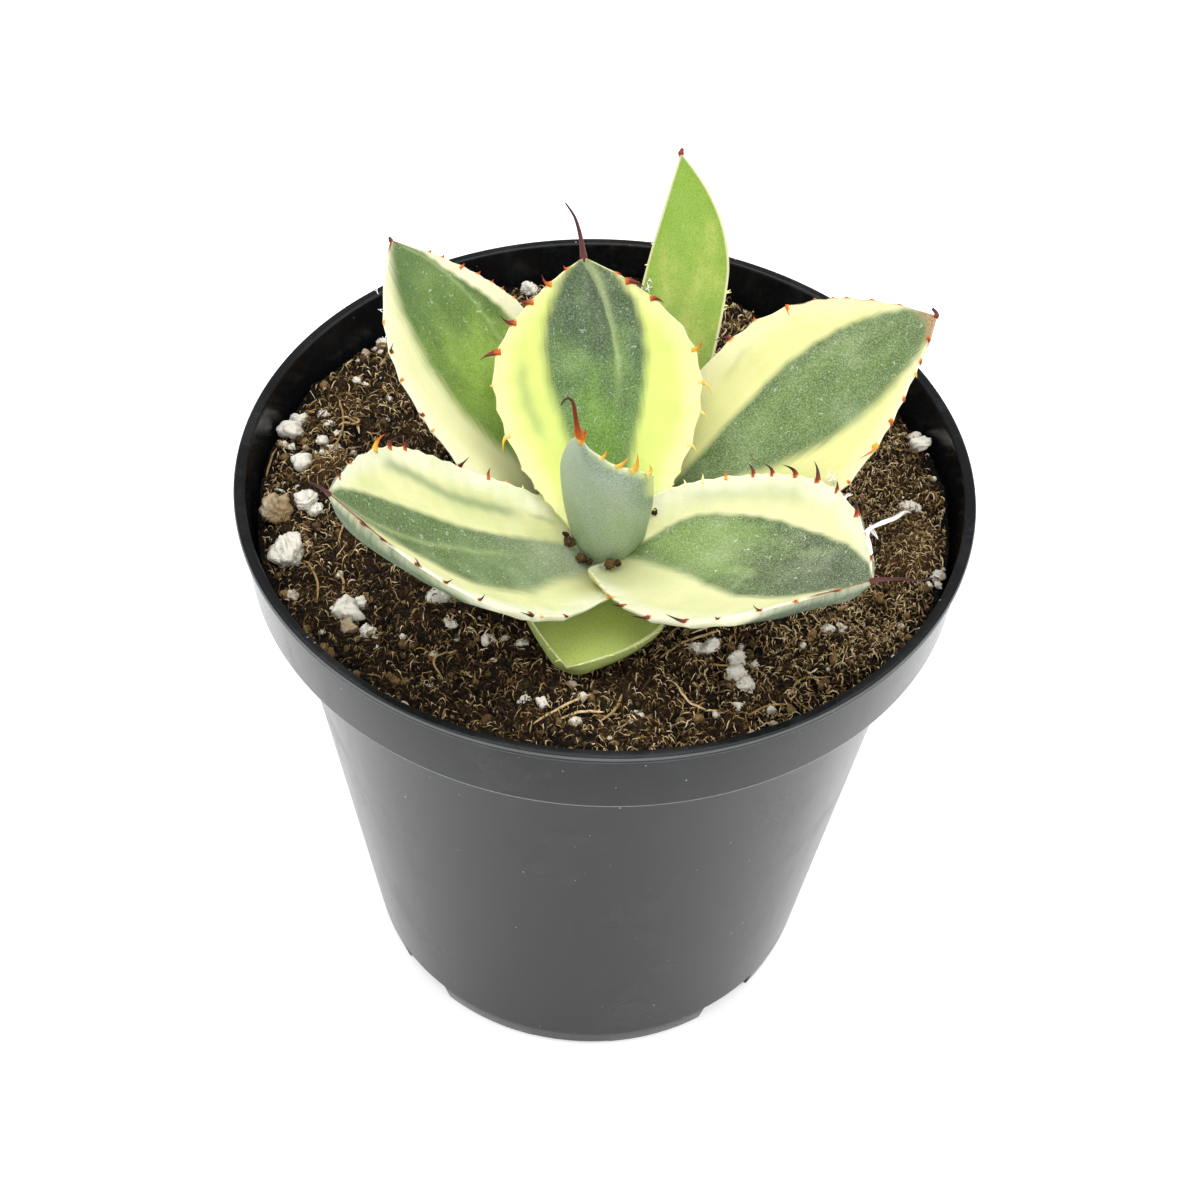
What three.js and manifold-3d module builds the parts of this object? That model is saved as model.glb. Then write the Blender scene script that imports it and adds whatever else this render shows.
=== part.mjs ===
// Potted agave: a young variegated rosette standing in soil in a round plastic nursery pot.
// Millimetres, +Z up. The origin is the middle of the pot's foot, on the surface it stands on.
// -Y is the side that the photograph looks at.
import * as THREE from 'three';
import { mergeVertices } from 'three/addons/utils/BufferGeometryUtils.js';
import Module from 'manifold-3d';

const wasm = await Module();
wasm.setup();

// Pot: a thin moulded shell with a wide rim band and a rounded lip.
const potHeight = 95.5;
const rimRadius = 54;
const footRadius = 34.7;
const wall = 1.2;
const chamferHeight = 3.6;
const chamferRadius = 35.7;
const bandHeight = 12.3;
const bodyTopRadius = 48;
const bandLowRadius = 52.4;
const bandHighRadius = 53.4;
const lipWidth = 1.7;
const floorLow = 2.2;
const floorHigh = 3.6;
const roundSides = 48;
const slotHeight = 3.9;
const slotWidth = 10.6;
const slotReach = 9;
const firstSlotAngle = -137.5;
const notchHeight = 0.45;
const notchWidth = 12.4;
const quarterTurns = 4;
const drainRadius = 3;
const drainRing = 19;

// Soil: fills the pot to a little under the lip, rough on top, with perlite grains in it.
const gap = 0.35;
const soilEdge = bandLowRadius - wall - gap;
const soilLevel = 88.3;
const soilRings = 11;
const soilRoughness = 0.45;
const smallGrains = 9;

// Plant: everything grows from a short crown, a little in front of the pot's axis.
const crownX = 1;
const crownY = -12.5;
const crownTop = 107;
const bladeEdge = 0.8;
const toothLength = 1.7;

const degrees = Math.PI / 180;
const group = new THREE.Group();

// ---------------------------------------------------------------- solids and helpers

function seeded(seed) {
  let state = seed;
  return () => {
    state = (state * 1664525 + 1013904223) % 4294967296;
    return state / 4294967296;
  };
}

function solid(geometry) {
  const bare = geometry.clone();
  bare.deleteAttribute('normal');
  bare.deleteAttribute('uv');
  const merged = mergeVertices(bare, 1e-4);
  const vertProperties = new Float32Array(merged.attributes.position.array);
  const triVerts = new Uint32Array(merged.index.array);
  return new wasm.Manifold(new wasm.Mesh({ numProp: 3, vertProperties, triVerts }));
}

function geometryFrom(vertices, triangles) {
  const geometry = new THREE.BufferGeometry();
  geometry.setAttribute('position', new THREE.Float32BufferAttribute(vertices, 3));
  geometry.setIndex(triangles);
  return geometry;
}

function piece(name, body, color, roughness) {
  const mesh = body.getMesh();
  const geometry = geometryFrom(mesh.vertProperties, Array.from(mesh.triVerts));
  geometry.computeVertexNormals();
  const material = new THREE.MeshStandardMaterial({ color, roughness, metalness: 0 });
  const part = new THREE.Mesh(geometry, material);
  part.name = name;
  group.add(part);
}

// A profile of [radius, height] pairs, from the axis round to the axis, turned about Z.
function turned(profile, sides) {
  const points = profile.map(([radius, height]) => new THREE.Vector2(radius, height));
  const geometry = new THREE.LatheGeometry(points, sides);
  geometry.rotateX(Math.PI / 2);
  return solid(geometry);
}

function largestOf(body) {
  const parts = body.decompose();
  return parts.reduce((best, part) => (part.volume() > best.volume() ? part : best));
}

// ---------------------------------------------------------------- pot

const ledge = potHeight - bandHeight;

function potBody() {
  const innerBodyTop = bodyTopRadius - wall;
  const innerBand = bandHighRadius - wall;
  const profile = [
    [0, floorLow],
    [footRadius - wall, floorLow],
    [footRadius - wall, 0],
    [footRadius, 0],
    [chamferRadius, chamferHeight],
    [bodyTopRadius, ledge],
    [bandLowRadius - 0.3, ledge],
    [bandLowRadius, ledge + 0.4],
    [bandHighRadius, potHeight - 1.3],
    [rimRadius, potHeight - 0.9],
    [rimRadius, potHeight - 0.35],
    [rimRadius - 0.4, potHeight],
    [rimRadius - lipWidth + 0.4, potHeight],
    [rimRadius - lipWidth, potHeight - 0.4],
    [innerBand, potHeight - 1.6],
    [bandLowRadius - wall, ledge + wall],
    [innerBodyTop, ledge + wall],
    [chamferRadius - wall + 0.1, floorHigh],
    [0, floorHigh],
  ];
  let body = turned(profile, roundSides);
  for (let turn = 0; turn < quarterTurns; turn += 1) {
    const angle = (firstSlotAngle + turn * 90) * degrees;
    const slot = new THREE.BoxGeometry(slotReach, slotWidth, slotHeight * 2);
    slot.translate(footRadius - slotReach / 2 + 2.5, 0, 0);
    body = body.subtract(solid(slot.rotateZ(angle)));
    const notch = new THREE.BoxGeometry(slotReach, notchWidth, notchHeight * 2);
    notch.translate(footRadius, 0, 0);
    body = body.subtract(solid(notch.rotateZ(angle + 45 * degrees)));
    body = body.subtract(drainHole(drainRing, angle + 45 * degrees));
  }
  return body.subtract(drainHole(0, 0));
}

function drainHole(distance, angle) {
  const hole = new THREE.CylinderGeometry(drainRadius, drainRadius, floorHigh * 2, 14);
  hole.rotateX(Math.PI / 2);
  hole.translate(distance, 0, floorHigh);
  return solid(hole.rotateZ(angle));
}

// ---------------------------------------------------------------- crown and root

// Short stem that the leaves grow from, with a taproot below and the furled growing point on
// top, behind the bud leaf; grow swells it all round.
function crownBody(grow) {
  const profile = [
    [0, 58 - grow],
    [0.9 + grow, 58 - grow],
    [2.6 + grow, 74],
    [5 + grow, 84],
    [6.6 + grow, 88.4],
    [6.4 + grow, 90],
    [5.4 + grow, 92],
    [4 + grow, 94],
    [3 + grow, 97],
    [2 + grow, crownTop - 5],
    [0.6 + grow, crownTop - 0.5],
    [0, crownTop + grow],
  ];
  return turned(profile, 16).translate([crownX, crownY, 0]);
}

// ---------------------------------------------------------------- leaves

// Half width against distance s along the leaf: it widens from the clasping base to its widest
// place as one minus a power, then narrows to the tip as one minus another power.
function widthAt(leaf, side, s) {
  const widest = leaf.widest[side];
  if (s < widest) {
    return leaf.halfWidth[side] * (1 - (1 - leaf.baseShare) * (1 - s / widest) ** leaf.swell);
  }
  return leaf.halfWidth[side] * (1 - ((s - widest) / (1 - widest)) ** leaf.taper[side]);
}

// Directions at s: along the midrib, across the blade and out of its upper face.
function directionsAt(leaf, s) {
  const rise = (leaf.rise + leaf.curl * s) * degrees;
  const heading = (leaf.azimuth + leaf.bend * s) * degrees;
  const roll = (leaf.roll + leaf.twist * s) * degrees;
  const along = new THREE.Vector3(
    Math.cos(rise) * Math.cos(heading),
    Math.cos(rise) * Math.sin(heading),
    Math.sin(rise),
  );
  const across = new THREE.Vector3(-Math.sin(heading), Math.cos(heading), 0);
  across.applyAxisAngle(along, roll);
  const face = new THREE.Vector3().crossVectors(along, across);
  return { along, across, face };
}

// Midrib point at s, stepped along the changing direction from the base on the crown.
function midribAt(leaf, s) {
  const heading = leaf.azimuth * degrees;
  const point = new THREE.Vector3(
    crownX + leaf.reach * Math.cos(heading) - leaf.offset * Math.sin(heading),
    crownY + leaf.reach * Math.sin(heading) + leaf.offset * Math.cos(heading),
    leaf.baseHeight,
  );
  const steps = 24;
  for (let step = 0; step < steps; step += 1) {
    const { along } = directionsAt(leaf, (s * (step + 0.5)) / steps);
    point.addScaledVector(along, (leaf.length * s) / steps);
  }
  return point;
}

// Upper face at s and t, t from -1 to 1 across: an arc whose cupping closes towards the base.
// Returns the point, the outward direction there and the direction towards the margin.
function bladeAt(leaf, s, t, grow = 0) {
  const side = t > 0 ? 0 : 1;
  const { along, across, face } = directionsAt(leaf, s);
  const cup = (leaf.cup[side] + leaf.wrap * Math.max(0, 1 - s / 0.4) ** 2) * degrees;
  const width = widthAt(leaf, side, s) + grow;
  const point = midribAt(leaf, s);
  point.addScaledVector(across, (width * Math.sin(cup * t)) / cup);
  point.addScaledVector(face, (width * (1 - Math.cos(cup * t))) / cup);
  const normal = face.clone().multiplyScalar(Math.cos(cup * t));
  normal.addScaledVector(across, -Math.sin(cup * t));
  const outward = across.clone().multiplyScalar(Math.cos(cup * t));
  outward.addScaledVector(face, Math.sin(cup * t)).multiplyScalar(Math.sign(t) || 1);
  return { point, normal, outward, along };
}

// Flesh: thickest along the midrib near the base, thin at the margins and the tip.
function thicknessAt(leaf, s, t) {
  const middle = leaf.tipThickness + (leaf.baseThickness - leaf.tipThickness) * (1 - s) ** 1.3;
  return bladeEdge + (middle - bladeEdge) * (1 - t * t) ** 0.8;
}

// Closed blade between its upper and lower faces, both split into triangles alike.
function bladeBody(leaf, grow = 0) {
  const stations = leaf.stations;
  const columns = leaf.columns;
  const rows = columns + 1;
  const vertices = [];
  const lowerStart = stations * rows;
  const flesh = leaf.fleshInside ? 1 : -1;
  for (const lower of [false, true]) {
    for (let i = 0; i < stations; i += 1) {
      const s = (i / (stations - 1)) * 0.97;
      for (let j = 0; j <= columns; j += 1) {
        const t = -1 + (2 * j) / columns;
        const { point, normal } = bladeAt(leaf, s, t, grow);
        const isSkin = lower === leaf.fleshInside;
        const depth = isSkin ? -grow : thicknessAt(leaf, s, t) + grow;
        point.addScaledVector(normal, flesh * depth);
        vertices.push(point.x, point.y, point.z);
      }
    }
  }
  const tip = midribAt(leaf, 1);
  const tipFrame = directionsAt(leaf, 1);
  tip.addScaledVector(tipFrame.along, grow);
  tip.addScaledVector(tipFrame.face, flesh * bladeEdge * 0.5);
  vertices.push(tip.x, tip.y, tip.z);
  const apex = lowerStart * 2;

  const up = (i, j) => i * rows + j;
  const low = (i, j) => lowerStart + i * rows + j;
  const triangles = [];
  for (let i = 0; i < stations - 1; i += 1) {
    for (let j = 0; j < columns; j += 1) {
      triangles.push(up(i, j), up(i + 1, j), up(i + 1, j + 1));
      triangles.push(up(i, j), up(i + 1, j + 1), up(i, j + 1));
      triangles.push(low(i, j), low(i + 1, j + 1), low(i + 1, j));
      triangles.push(low(i, j), low(i, j + 1), low(i + 1, j + 1));
    }
    triangles.push(up(i, 0), low(i, 0), low(i + 1, 0));
    triangles.push(up(i, 0), low(i + 1, 0), up(i + 1, 0));
    triangles.push(up(i, columns), low(i + 1, columns), low(i, columns));
    triangles.push(up(i, columns), up(i + 1, columns), low(i + 1, columns));
  }
  const end = stations - 1;
  for (let j = 0; j < columns; j += 1) {
    triangles.push(up(0, j), up(0, j + 1), low(0, j + 1));
    triangles.push(up(0, j), low(0, j + 1), low(0, j));
    triangles.push(up(end, j), apex, up(end, j + 1));
    triangles.push(low(end, j), low(end, j + 1), apex);
  }
  triangles.push(up(end, 0), low(end, 0), apex);
  triangles.push(up(end, columns), apex, low(end, columns));
  return solid(geometryFrom(vertices, triangles));
}

// Marginal tooth: a small pyramid rooted in the margin, hooked towards the tip near the tip
// and back towards the base lower down.
function toothBody(leaf, s, side) {
  const t = side === 0 ? 1 : -1;
  const { point, normal, outward, along } = bladeAt(leaf, s, t);
  const flesh = leaf.fleshInside ? 0.5 : -0.5;
  const root = point.clone().addScaledVector(normal, flesh * bladeEdge);
  root.addScaledVector(outward, -0.7);
  const hook = 1.6 * (s - 0.5);
  const apex = root.clone().addScaledVector(outward, toothLength + 0.7);
  apex.addScaledVector(along, hook * toothLength * 0.6);
  const corners = [[0.95, 0], [0, 0.42], [-0.95, 0], [0, -0.42]].map(([ahead, above]) => {
    return root.clone().addScaledVector(along, ahead).addScaledVector(normal, above);
  });
  return convexBody([...corners, apex]);
}

// Pyramid on four corners, the apex last; the faces turn outwards whichever way it leans.
function convexBody(points) {
  const vertices = points.flatMap((point) => [point.x, point.y, point.z]);
  const faces = [0, 1, 4, 1, 2, 4, 2, 3, 4, 3, 0, 4, 0, 2, 1, 0, 3, 2];
  const edgeA = points[1].clone().sub(points[0]);
  const edgeB = points[2].clone().sub(points[0]);
  const lift = points[4].clone().sub(points[0]);
  const outside = edgeA.cross(edgeB).dot(lift) > 0;
  const ordered = outside ? faces : faces.slice().reverse();
  return solid(geometryFrom(vertices, ordered));
}

// Terminal spine: a round taper that leaves along the midrib and sweeps to its point.
function spineBody(leaf) {
  const { along, across, face } = directionsAt(leaf, 1);
  const { length, sideways, upwards, radius } = leaf.spine;
  const flesh = leaf.fleshInside ? 0.5 : -0.5;
  const start = midribAt(leaf, 1).addScaledVector(face, flesh * bladeEdge);
  start.addScaledVector(along, -1.8);
  const bend = start.clone().addScaledVector(along, 1.8 + length * 0.55);
  const end = start.clone().addScaledVector(along, 1.8 + length);
  end.addScaledVector(across, sideways).addScaledVector(face, upwards);
  const path = new THREE.QuadraticBezierCurve3(start, bend, end);
  const sides = 5;
  const rings = 6;
  const vertices = [];
  for (let ring = 0; ring < rings; ring += 1) {
    const u = ring / rings;
    const centre = path.getPoint(u);
    const thick = radius * (1 - u) ** 0.8;
    for (let side = 0; side < sides; side += 1) {
      const angle = (side / sides) * Math.PI * 2;
      const rim = centre.clone().addScaledVector(across, thick * Math.cos(angle));
      rim.addScaledVector(face, thick * Math.sin(angle));
      vertices.push(rim.x, rim.y, rim.z);
    }
  }
  const point = path.getPoint(1);
  vertices.push(point.x, point.y, point.z, start.x, start.y, start.z);
  const tip = rings * sides;
  const root = tip + 1;
  const triangles = [];
  for (let side = 0; side < sides; side += 1) {
    const next = (side + 1) % sides;
    for (let ring = 0; ring < rings - 1; ring += 1) {
      const here = ring * sides;
      const above = here + sides;
      triangles.push(here + side, here + next, above + next);
      triangles.push(here + side, above + next, above + side);
    }
    const last = (rings - 1) * sides;
    triangles.push(last + side, last + next, tip);
    triangles.push(root, next, side);
  }
  return solid(geometryFrom(vertices, triangles));
}

// Angles in degrees, lengths in millimetres. Pairs are the left and right halves as seen
// looking out from the crown. reach, offset and baseHeight place the base on the crown.
const usual = {
  wrap: 40, swell: 2, offset: 0, roll: 0, twist: 0, curl: 0, bend: 0,
  baseThickness: 3, tipThickness: 1.5, stations: 15, columns: 8, fleshInside: false,
  teeth: [[], []], spine: null,
};

// From the innermost leaf outwards, the order in which they overlap.
const leaves = [
  {
    ...usual, name: 'bud_leaf', azimuth: 236, bend: -14.5, rise: 78, length: 28.2,
    halfWidth: [9.6, 7.4], widest: [0.64, 0.45], baseShare: 0.77, swell: 2.1,
    taper: [0.45, 2], cup: [61, 65], wrap: 5, roll: 29.5, twist: -12.5,
    reach: 3.2, offset: 0.8, baseHeight: 94, fleshInside: true, baseThickness: 1.8,
    teeth: [[0.66, 0.72, 0.79, 0.95], []],
    spine: { length: 8.6, sideways: -2.2, upwards: 0.6, radius: 0.9 },
  },
  {
    ...usual, name: 'leaf_back_middle', azimuth: 101, rise: 49.5, length: 38.5,
    halfWidth: [15.7, 15.5], widest: [0.58, 0.52], baseShare: 0.4, swell: 1.85,
    taper: [2.1, 2.15], cup: [28, 28.5], roll: -1, reach: 3, offset: 0.2, baseHeight: 94.2,
    teeth: [
      [0.23, 0.36, 0.55, 0.68, 0.78, 0.86, 0.92],
      [0.19, 0.28, 0.41, 0.53, 0.65, 0.78, 0.86, 0.93],
    ],
    spine: { length: 9, sideways: 2.2, upwards: -0.6, radius: 0.8 },
  },
  {
    ...usual, name: 'leaf_front_right', azimuth: -31.5, bend: -7, rise: 26.3, curl: 5.7,
    length: 44.5, halfWidth: [16.2, 16.1], widest: [0.47, 0.55], baseShare: 0.54,
    taper: [2.35, 1.95], cup: [38, 29], roll: 6, twist: -4,
    reach: 3.6, offset: -1.1, baseHeight: 93.2,
    teeth: [
      [0.19, 0.27, 0.35, 0.43, 0.52, 0.6, 0.7, 0.81, 0.93],
      [0.17, 0.27, 0.4, 0.54, 0.66, 0.77, 0.86],
    ],
    spine: { length: 10, sideways: 0.8, upwards: 0.4, radius: 0.8 },
  },
  {
    ...usual, name: 'leaf_front_left', azimuth: 213, bend: -5, rise: 29.5, curl: 21,
    length: 51.4, halfWidth: [15.5, 15.4], widest: [0.55, 0.53], baseShare: 0.5, swell: 2.4,
    taper: [2.15, 2.15], cup: [24, 27.5], roll: -4, twist: -1,
    reach: 4.2, offset: 1.7, baseHeight: 92,
    teeth: [
      [0.23, 0.32, 0.41, 0.52, 0.64, 0.74, 0.82, 0.9],
      [0.21, 0.29, 0.39, 0.5, 0.61, 0.69, 0.76, 0.88],
    ],
    spine: { length: 6, sideways: -0.8, upwards: 0.6, radius: 0.8 },
  },
  {
    ...usual, name: 'leaf_back_right', azimuth: 27, bend: -4.7, rise: 35, curl: -0.5,
    length: 53.7, halfWidth: [16.2, 16.2], widest: [0.55, 0.51], baseShare: 0.49, swell: 1.8,
    taper: [2.2, 1.7], cup: [29, 25], roll: 5.5, twist: 1.5,
    reach: 4.6, offset: -0.3, baseHeight: 91.2,
    teeth: [
      [0.41, 0.51, 0.58, 0.69, 0.75, 0.8, 0.85, 0.9],
      [0.3, 0.4, 0.5, 0.58, 0.66, 0.74, 0.81, 0.87, 0.92],
    ],
    spine: { length: 1.6, sideways: -0.5, upwards: 0.6, radius: 1 },
  },
  {
    ...usual, name: 'leaf_back_left', azimuth: 138, bend: -3.5, rise: 37, curl: 2.4,
    length: 51.5, halfWidth: [14.1, 14], widest: [0.58, 0.5], baseShare: 0.5,
    taper: [2.25, 2], cup: [29, 26], roll: 5, twist: 3,
    reach: 5, offset: 0.4, baseHeight: 90.2,
    teeth: [
      [0.28, 0.38, 0.47, 0.56, 0.65, 0.74, 0.8, 0.86],
      [0.4, 0.5, 0.61, 0.72, 0.79, 0.85, 0.92],
    ],
    spine: { length: 1, sideways: 0.2, upwards: 0.2, radius: 0.7 },
  },
  {
    ...usual, name: 'leaf_plain_back', azimuth: 65, bend: 34, rise: 37, curl: -5.4,
    length: 59.5, halfWidth: [6.5, 6.8], widest: [0.52, 0.69], baseShare: 0.54, swell: 1.2,
    taper: [1.8, 1.85], cup: [15, 16], roll: -1.5, baseThickness: 2.6, tipThickness: 1.3,
    reach: 5.2, offset: 0.9, baseHeight: 89.6, columns: 6,
    spine: { length: 1.4, sideways: -0.2, upwards: 0.3, radius: 0.5 },
  },
  {
    ...usual, name: 'leaf_plain_front', azimuth: 257, bend: -3, rise: 8, length: 18.5,
    halfWidth: [10.8, 10.7], widest: [0.38, 0.38], baseShare: 0.7, taper: [1.9, 1.8],
    cup: [28.5, 30], wrap: 30, roll: -1.5, baseThickness: 1.8, tipThickness: 1.2,
    reach: 5.4, offset: 0.7, baseHeight: 90.3, stations: 9, columns: 6,
  },
];

function leafBody(leaf) {
  let body = bladeBody(leaf);
  leaf.teeth.forEach((places, side) => {
    places.forEach((s) => {
      body = body.add(toothBody(leaf, s, side));
    });
  });
  return leaf.spine ? body.add(spineBody(leaf)) : body;
}

// ---------------------------------------------------------------- soil

// Height of the soil's surface: soft lumps of three sizes, and a hollow round the crown.
function soilHeight(x, y) {
  const lumps = 0.7 * Math.sin(x / 7 + 1) * Math.cos(y / 9)
    + 0.45 * Math.sin((x + y) / 4.1)
    + 0.35 * Math.cos((x - 1.7 * y) / 3.3);
  const away = Math.hypot(x - crownX, y - crownY - 1);
  return soilLevel + y * 0.012 + lumps - 1.1 * Math.exp(-((away / 11) ** 2));
}

function soilBody() {
  const random = seeded(7);
  const wallProfile = [
    [soilEdge, ledge + wall + gap],
    [bodyTopRadius - wall - gap, ledge + wall + gap],
    [chamferRadius - wall - gap, floorHigh + gap],
  ];
  const vertices = [0, 0, soilHeight(0, 0)];
  const turn = (Math.PI * 2) / roundSides;
  for (let ring = 1; ring <= soilRings; ring += 1) {
    const radius = (soilEdge * ring) / soilRings;
    for (let side = 0; side < roundSides; side += 1) {
      const x = radius * Math.cos(side * turn);
      const y = radius * Math.sin(side * turn);
      const rough = (random() - 0.5) * 2 * soilRoughness;
      vertices.push(x, y, soilHeight(x, y) + rough);
    }
  }
  for (const [radius, height] of wallProfile) {
    for (let side = 0; side < roundSides; side += 1) {
      vertices.push(radius * Math.cos(side * turn), radius * Math.sin(side * turn), height);
    }
  }
  vertices.push(0, 0, floorHigh + gap);
  const rings = soilRings + wallProfile.length;
  const last = 1 + rings * roundSides;
  const triangles = [];
  for (let side = 0; side < roundSides; side += 1) {
    const next = (side + 1) % roundSides;
    triangles.push(0, 1 + side, 1 + next);
    for (let ring = 0; ring < rings - 1; ring += 1) {
      const inner = 1 + ring * roundSides;
      const outer = inner + roundSides;
      triangles.push(inner + side, outer + side, outer + next);
      triangles.push(inner + side, outer + next, inner + next);
    }
    const bottom = 1 + (rings - 1) * roundSides;
    triangles.push(bottom + side, last, bottom + next);
  }
  return solid(geometryFrom(vertices, triangles));
}

// Perlite that shows on top: x, y and size, with a few more drawn at random between them.
const grains = [
  [-48, 14.5, 3], [-46.5, 18, 2.6], [-43, 17.5, 3], [-45.5, 7, 2.8], [-48, -2.5, 4.4],
  [-46, -9, 5], [-36, -19, 4.2], [-32.5, -24.5, 2.6], [-23, -18, 3.2], [-19, -22.5, 3],
  [-21.5, -25, 2.2], [-27.5, -20, 1.8], [20, -32, 4.6], [19.5, -27.5, 3.6],
  [15.8, -25, 3.4], [13, -26.5, 3], [20, -36.5, 2], [24, -37, 1.8], [33.5, -20.5, 2.6],
  [47.5, 19.5, 3], [45, 4.5, 2.4], [48, -9.5, 2.8], [-10, -38.5, 2.4], [-7, -38, 1.8],
  [-15.5, -27.5, 2.4], [-11, -27.5, 2], [-13.5, 47, 3.4],
];

function grainBody(x, y, size, random) {
  const inside = Math.min(1, (soilEdge - size / 2) / Math.hypot(x, y));
  const grain = new THREE.IcosahedronGeometry(size / 2, 0);
  grain.rotateX(random() * Math.PI);
  grain.rotateZ(random() * Math.PI);
  grain.scale(1, 0.7 + 0.3 * random(), 0.8);
  grain.translate(x * inside, y * inside, soilHeight(x, y) + size * 0.12);
  return solid(grain);
}

function filledSoil(hollow) {
  const random = seeded(21);
  let body = soilBody();
  for (const [x, y, size] of grains) {
    body = body.add(grainBody(x, y, size, random));
  }
  for (let count = 0; count < smallGrains; count += 1) {
    const angle = random() * Math.PI * 2;
    const radius = 26 + random() * 21;
    const x = radius * Math.cos(angle);
    body = body.add(grainBody(x, radius * Math.sin(angle), 1.8 + random(), random));
  }
  return largestOf(body.subtract(hollow));
}

// ---------------------------------------------------------------- assembly

piece('pot', potBody(), 0x3f4144, 0.42);
piece('crown', crownBody(0), 0xd9d6a8, 0.6);
const leafColors = {
  bud_leaf: 0x93a890,
  leaf_plain_back: 0x86ad4c,
  leaf_plain_front: 0x86ad4c,
};
let taken = crownBody(gap);
for (const leaf of leaves) {
  piece(leaf.name, largestOf(leafBody(leaf).subtract(taken)), leafColors[leaf.name] ?? 0x8fa56a, 0.5);
  taken = taken.add(bladeBody(leaf, gap));
}
piece('soil', filledSoil(taken), 0x4a3524, 0.95);

export default group;
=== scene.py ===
# Potted agave: a young variegated rosette in soil, in a round plastic nursery pot.
# Sizes in the dictionaries are millimetres and degrees; meshes are written in metres.
import math

import bpy
import numpy as np
from mathutils import Matrix, Vector


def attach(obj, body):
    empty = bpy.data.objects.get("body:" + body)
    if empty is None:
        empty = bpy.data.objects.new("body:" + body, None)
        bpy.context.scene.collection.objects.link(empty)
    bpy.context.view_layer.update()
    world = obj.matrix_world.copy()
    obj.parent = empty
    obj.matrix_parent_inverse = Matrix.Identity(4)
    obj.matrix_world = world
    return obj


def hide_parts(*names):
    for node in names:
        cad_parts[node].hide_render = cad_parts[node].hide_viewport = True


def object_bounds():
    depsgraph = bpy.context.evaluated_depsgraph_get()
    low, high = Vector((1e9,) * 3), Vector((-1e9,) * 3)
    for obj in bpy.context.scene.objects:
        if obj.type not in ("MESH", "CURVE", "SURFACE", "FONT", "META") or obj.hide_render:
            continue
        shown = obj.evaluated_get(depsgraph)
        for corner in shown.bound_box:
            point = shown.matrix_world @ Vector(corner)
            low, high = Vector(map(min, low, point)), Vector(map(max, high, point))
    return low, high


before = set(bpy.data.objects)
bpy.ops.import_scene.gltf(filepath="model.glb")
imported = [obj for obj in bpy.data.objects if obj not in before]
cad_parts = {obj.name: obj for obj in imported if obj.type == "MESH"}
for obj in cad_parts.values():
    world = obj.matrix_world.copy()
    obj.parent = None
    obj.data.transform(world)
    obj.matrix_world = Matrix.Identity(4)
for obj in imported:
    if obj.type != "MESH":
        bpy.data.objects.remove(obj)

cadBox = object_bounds()
mm = 0.001
body = "root"
lattice = 64        # random numbers along each side of a noise table
print("stage: frame loaded")


# numbers worked out on whole arrays

def smooth(value, low, high):
    # 3u^2 - 2u^3 with u running from 0 at low to 1 at high
    u = np.clip((value - low) / (high - low), 0, 1)
    return u * u * (3 - 2 * u)


def unit(vectors):
    # the vectors at length 1
    return vectors / np.linalg.norm(vectors, axis=-1, keepdims=True)


def waves(x, y, cell, seed):
    # value noise, -1 to 1: random numbers on a square lattice, blended by 3u^2 - 2u^3
    table = np.random.default_rng(seed).uniform(-1, 1, (lattice, lattice))
    x, y = x / cell, y / cell
    column, row = np.floor(x).astype(int), np.floor(y).astype(int)
    shareX, shareY = smooth(x - column, 0, 1), smooth(y - row, 0, 1)
    near, far = (
        table[column % lattice, (row + step) % lattice] * (1 - shareX)
        + table[(column + 1) % lattice, (row + step) % lattice] * shareX for step in (0, 1))
    return near * (1 - shareY) + far * shareY


def clods(x, y, cell, seed):
    # round lumps: one centre at random in each square cell; the tallest of 1 - (distance / cell)^2
    jitterX, jitterY, tall = np.random.default_rng(seed).uniform(0, 1, (3, lattice, lattice))
    x, y = x / cell, y / cell
    best = np.full(np.shape(x), -0.4)
    for stepX, stepY in np.ndindex(3, 3):
        column = np.floor(x).astype(int) + stepX - 1
        row = np.floor(y).astype(int) + stepY - 1
        at = column % lattice, row % lattice
        away = (column + jitterX[at] - x) ** 2 + (row + jitterY[at] - y) ** 2
        best = np.maximum(best, (0.35 + 0.65 * tall[at]) * (1 - away))
    return best


def bezier(corners, u):
    # Bernstein sum of the corner points (..., degree + 1, 3), for each u from 0 to 1
    degree = corners.shape[-2] - 1
    return sum(
        (math.comb(degree, k) * u ** k * (1 - u) ** (degree - k))[..., None]
        * corners[..., None, k, :] for k in range(degree + 1))


# meshes from arrays of points and faces

def gridQuads(rows, columns, wrapped=False):
    # four corners of each cell of a grid of points, row by row
    row = np.arange(rows - 1)[:, None]
    column = np.arange(columns if wrapped else columns - 1)[None, :]
    following = (column + 1) % columns
    here, there = row * columns, (row + 1) * columns
    corners = [here + column, there + column, there + following, here + following]
    return np.stack(np.broadcast_arrays(*corners), -1).reshape(-1, 4)


def fan(centre, loop, turned=False):
    # triangles from a centre point to each pair of neighbours on a closed loop of points
    after = np.roll(loop, -1)
    pair = (after, loop) if turned else (loop, after)
    return np.stack([np.full_like(loop, centre), *pair], -1)


def capped(rings, sides):
    # faces of rings of points with one more point behind each end, facing outwards when the rings
    # turn to the left about the way they go
    first, total = np.arange(sides), rings * sides
    last = first + total - sides
    return (gridQuads(rings, sides, True)[:, [0, 3, 2, 1]],
            np.concatenate([fan(total, first, True), fan(total + 1, last)]))


def repeated(points, quads, triangles):
    # faces for many copies of one shape; points are (copies, size, 3)
    offset = (np.arange(points.shape[0]) * points.shape[1])[:, None, None]
    return (points.reshape(-1, 3), (quads[None] + offset).reshape(-1, 4),
            (triangles[None] + offset).reshape(-1, 3))


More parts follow.
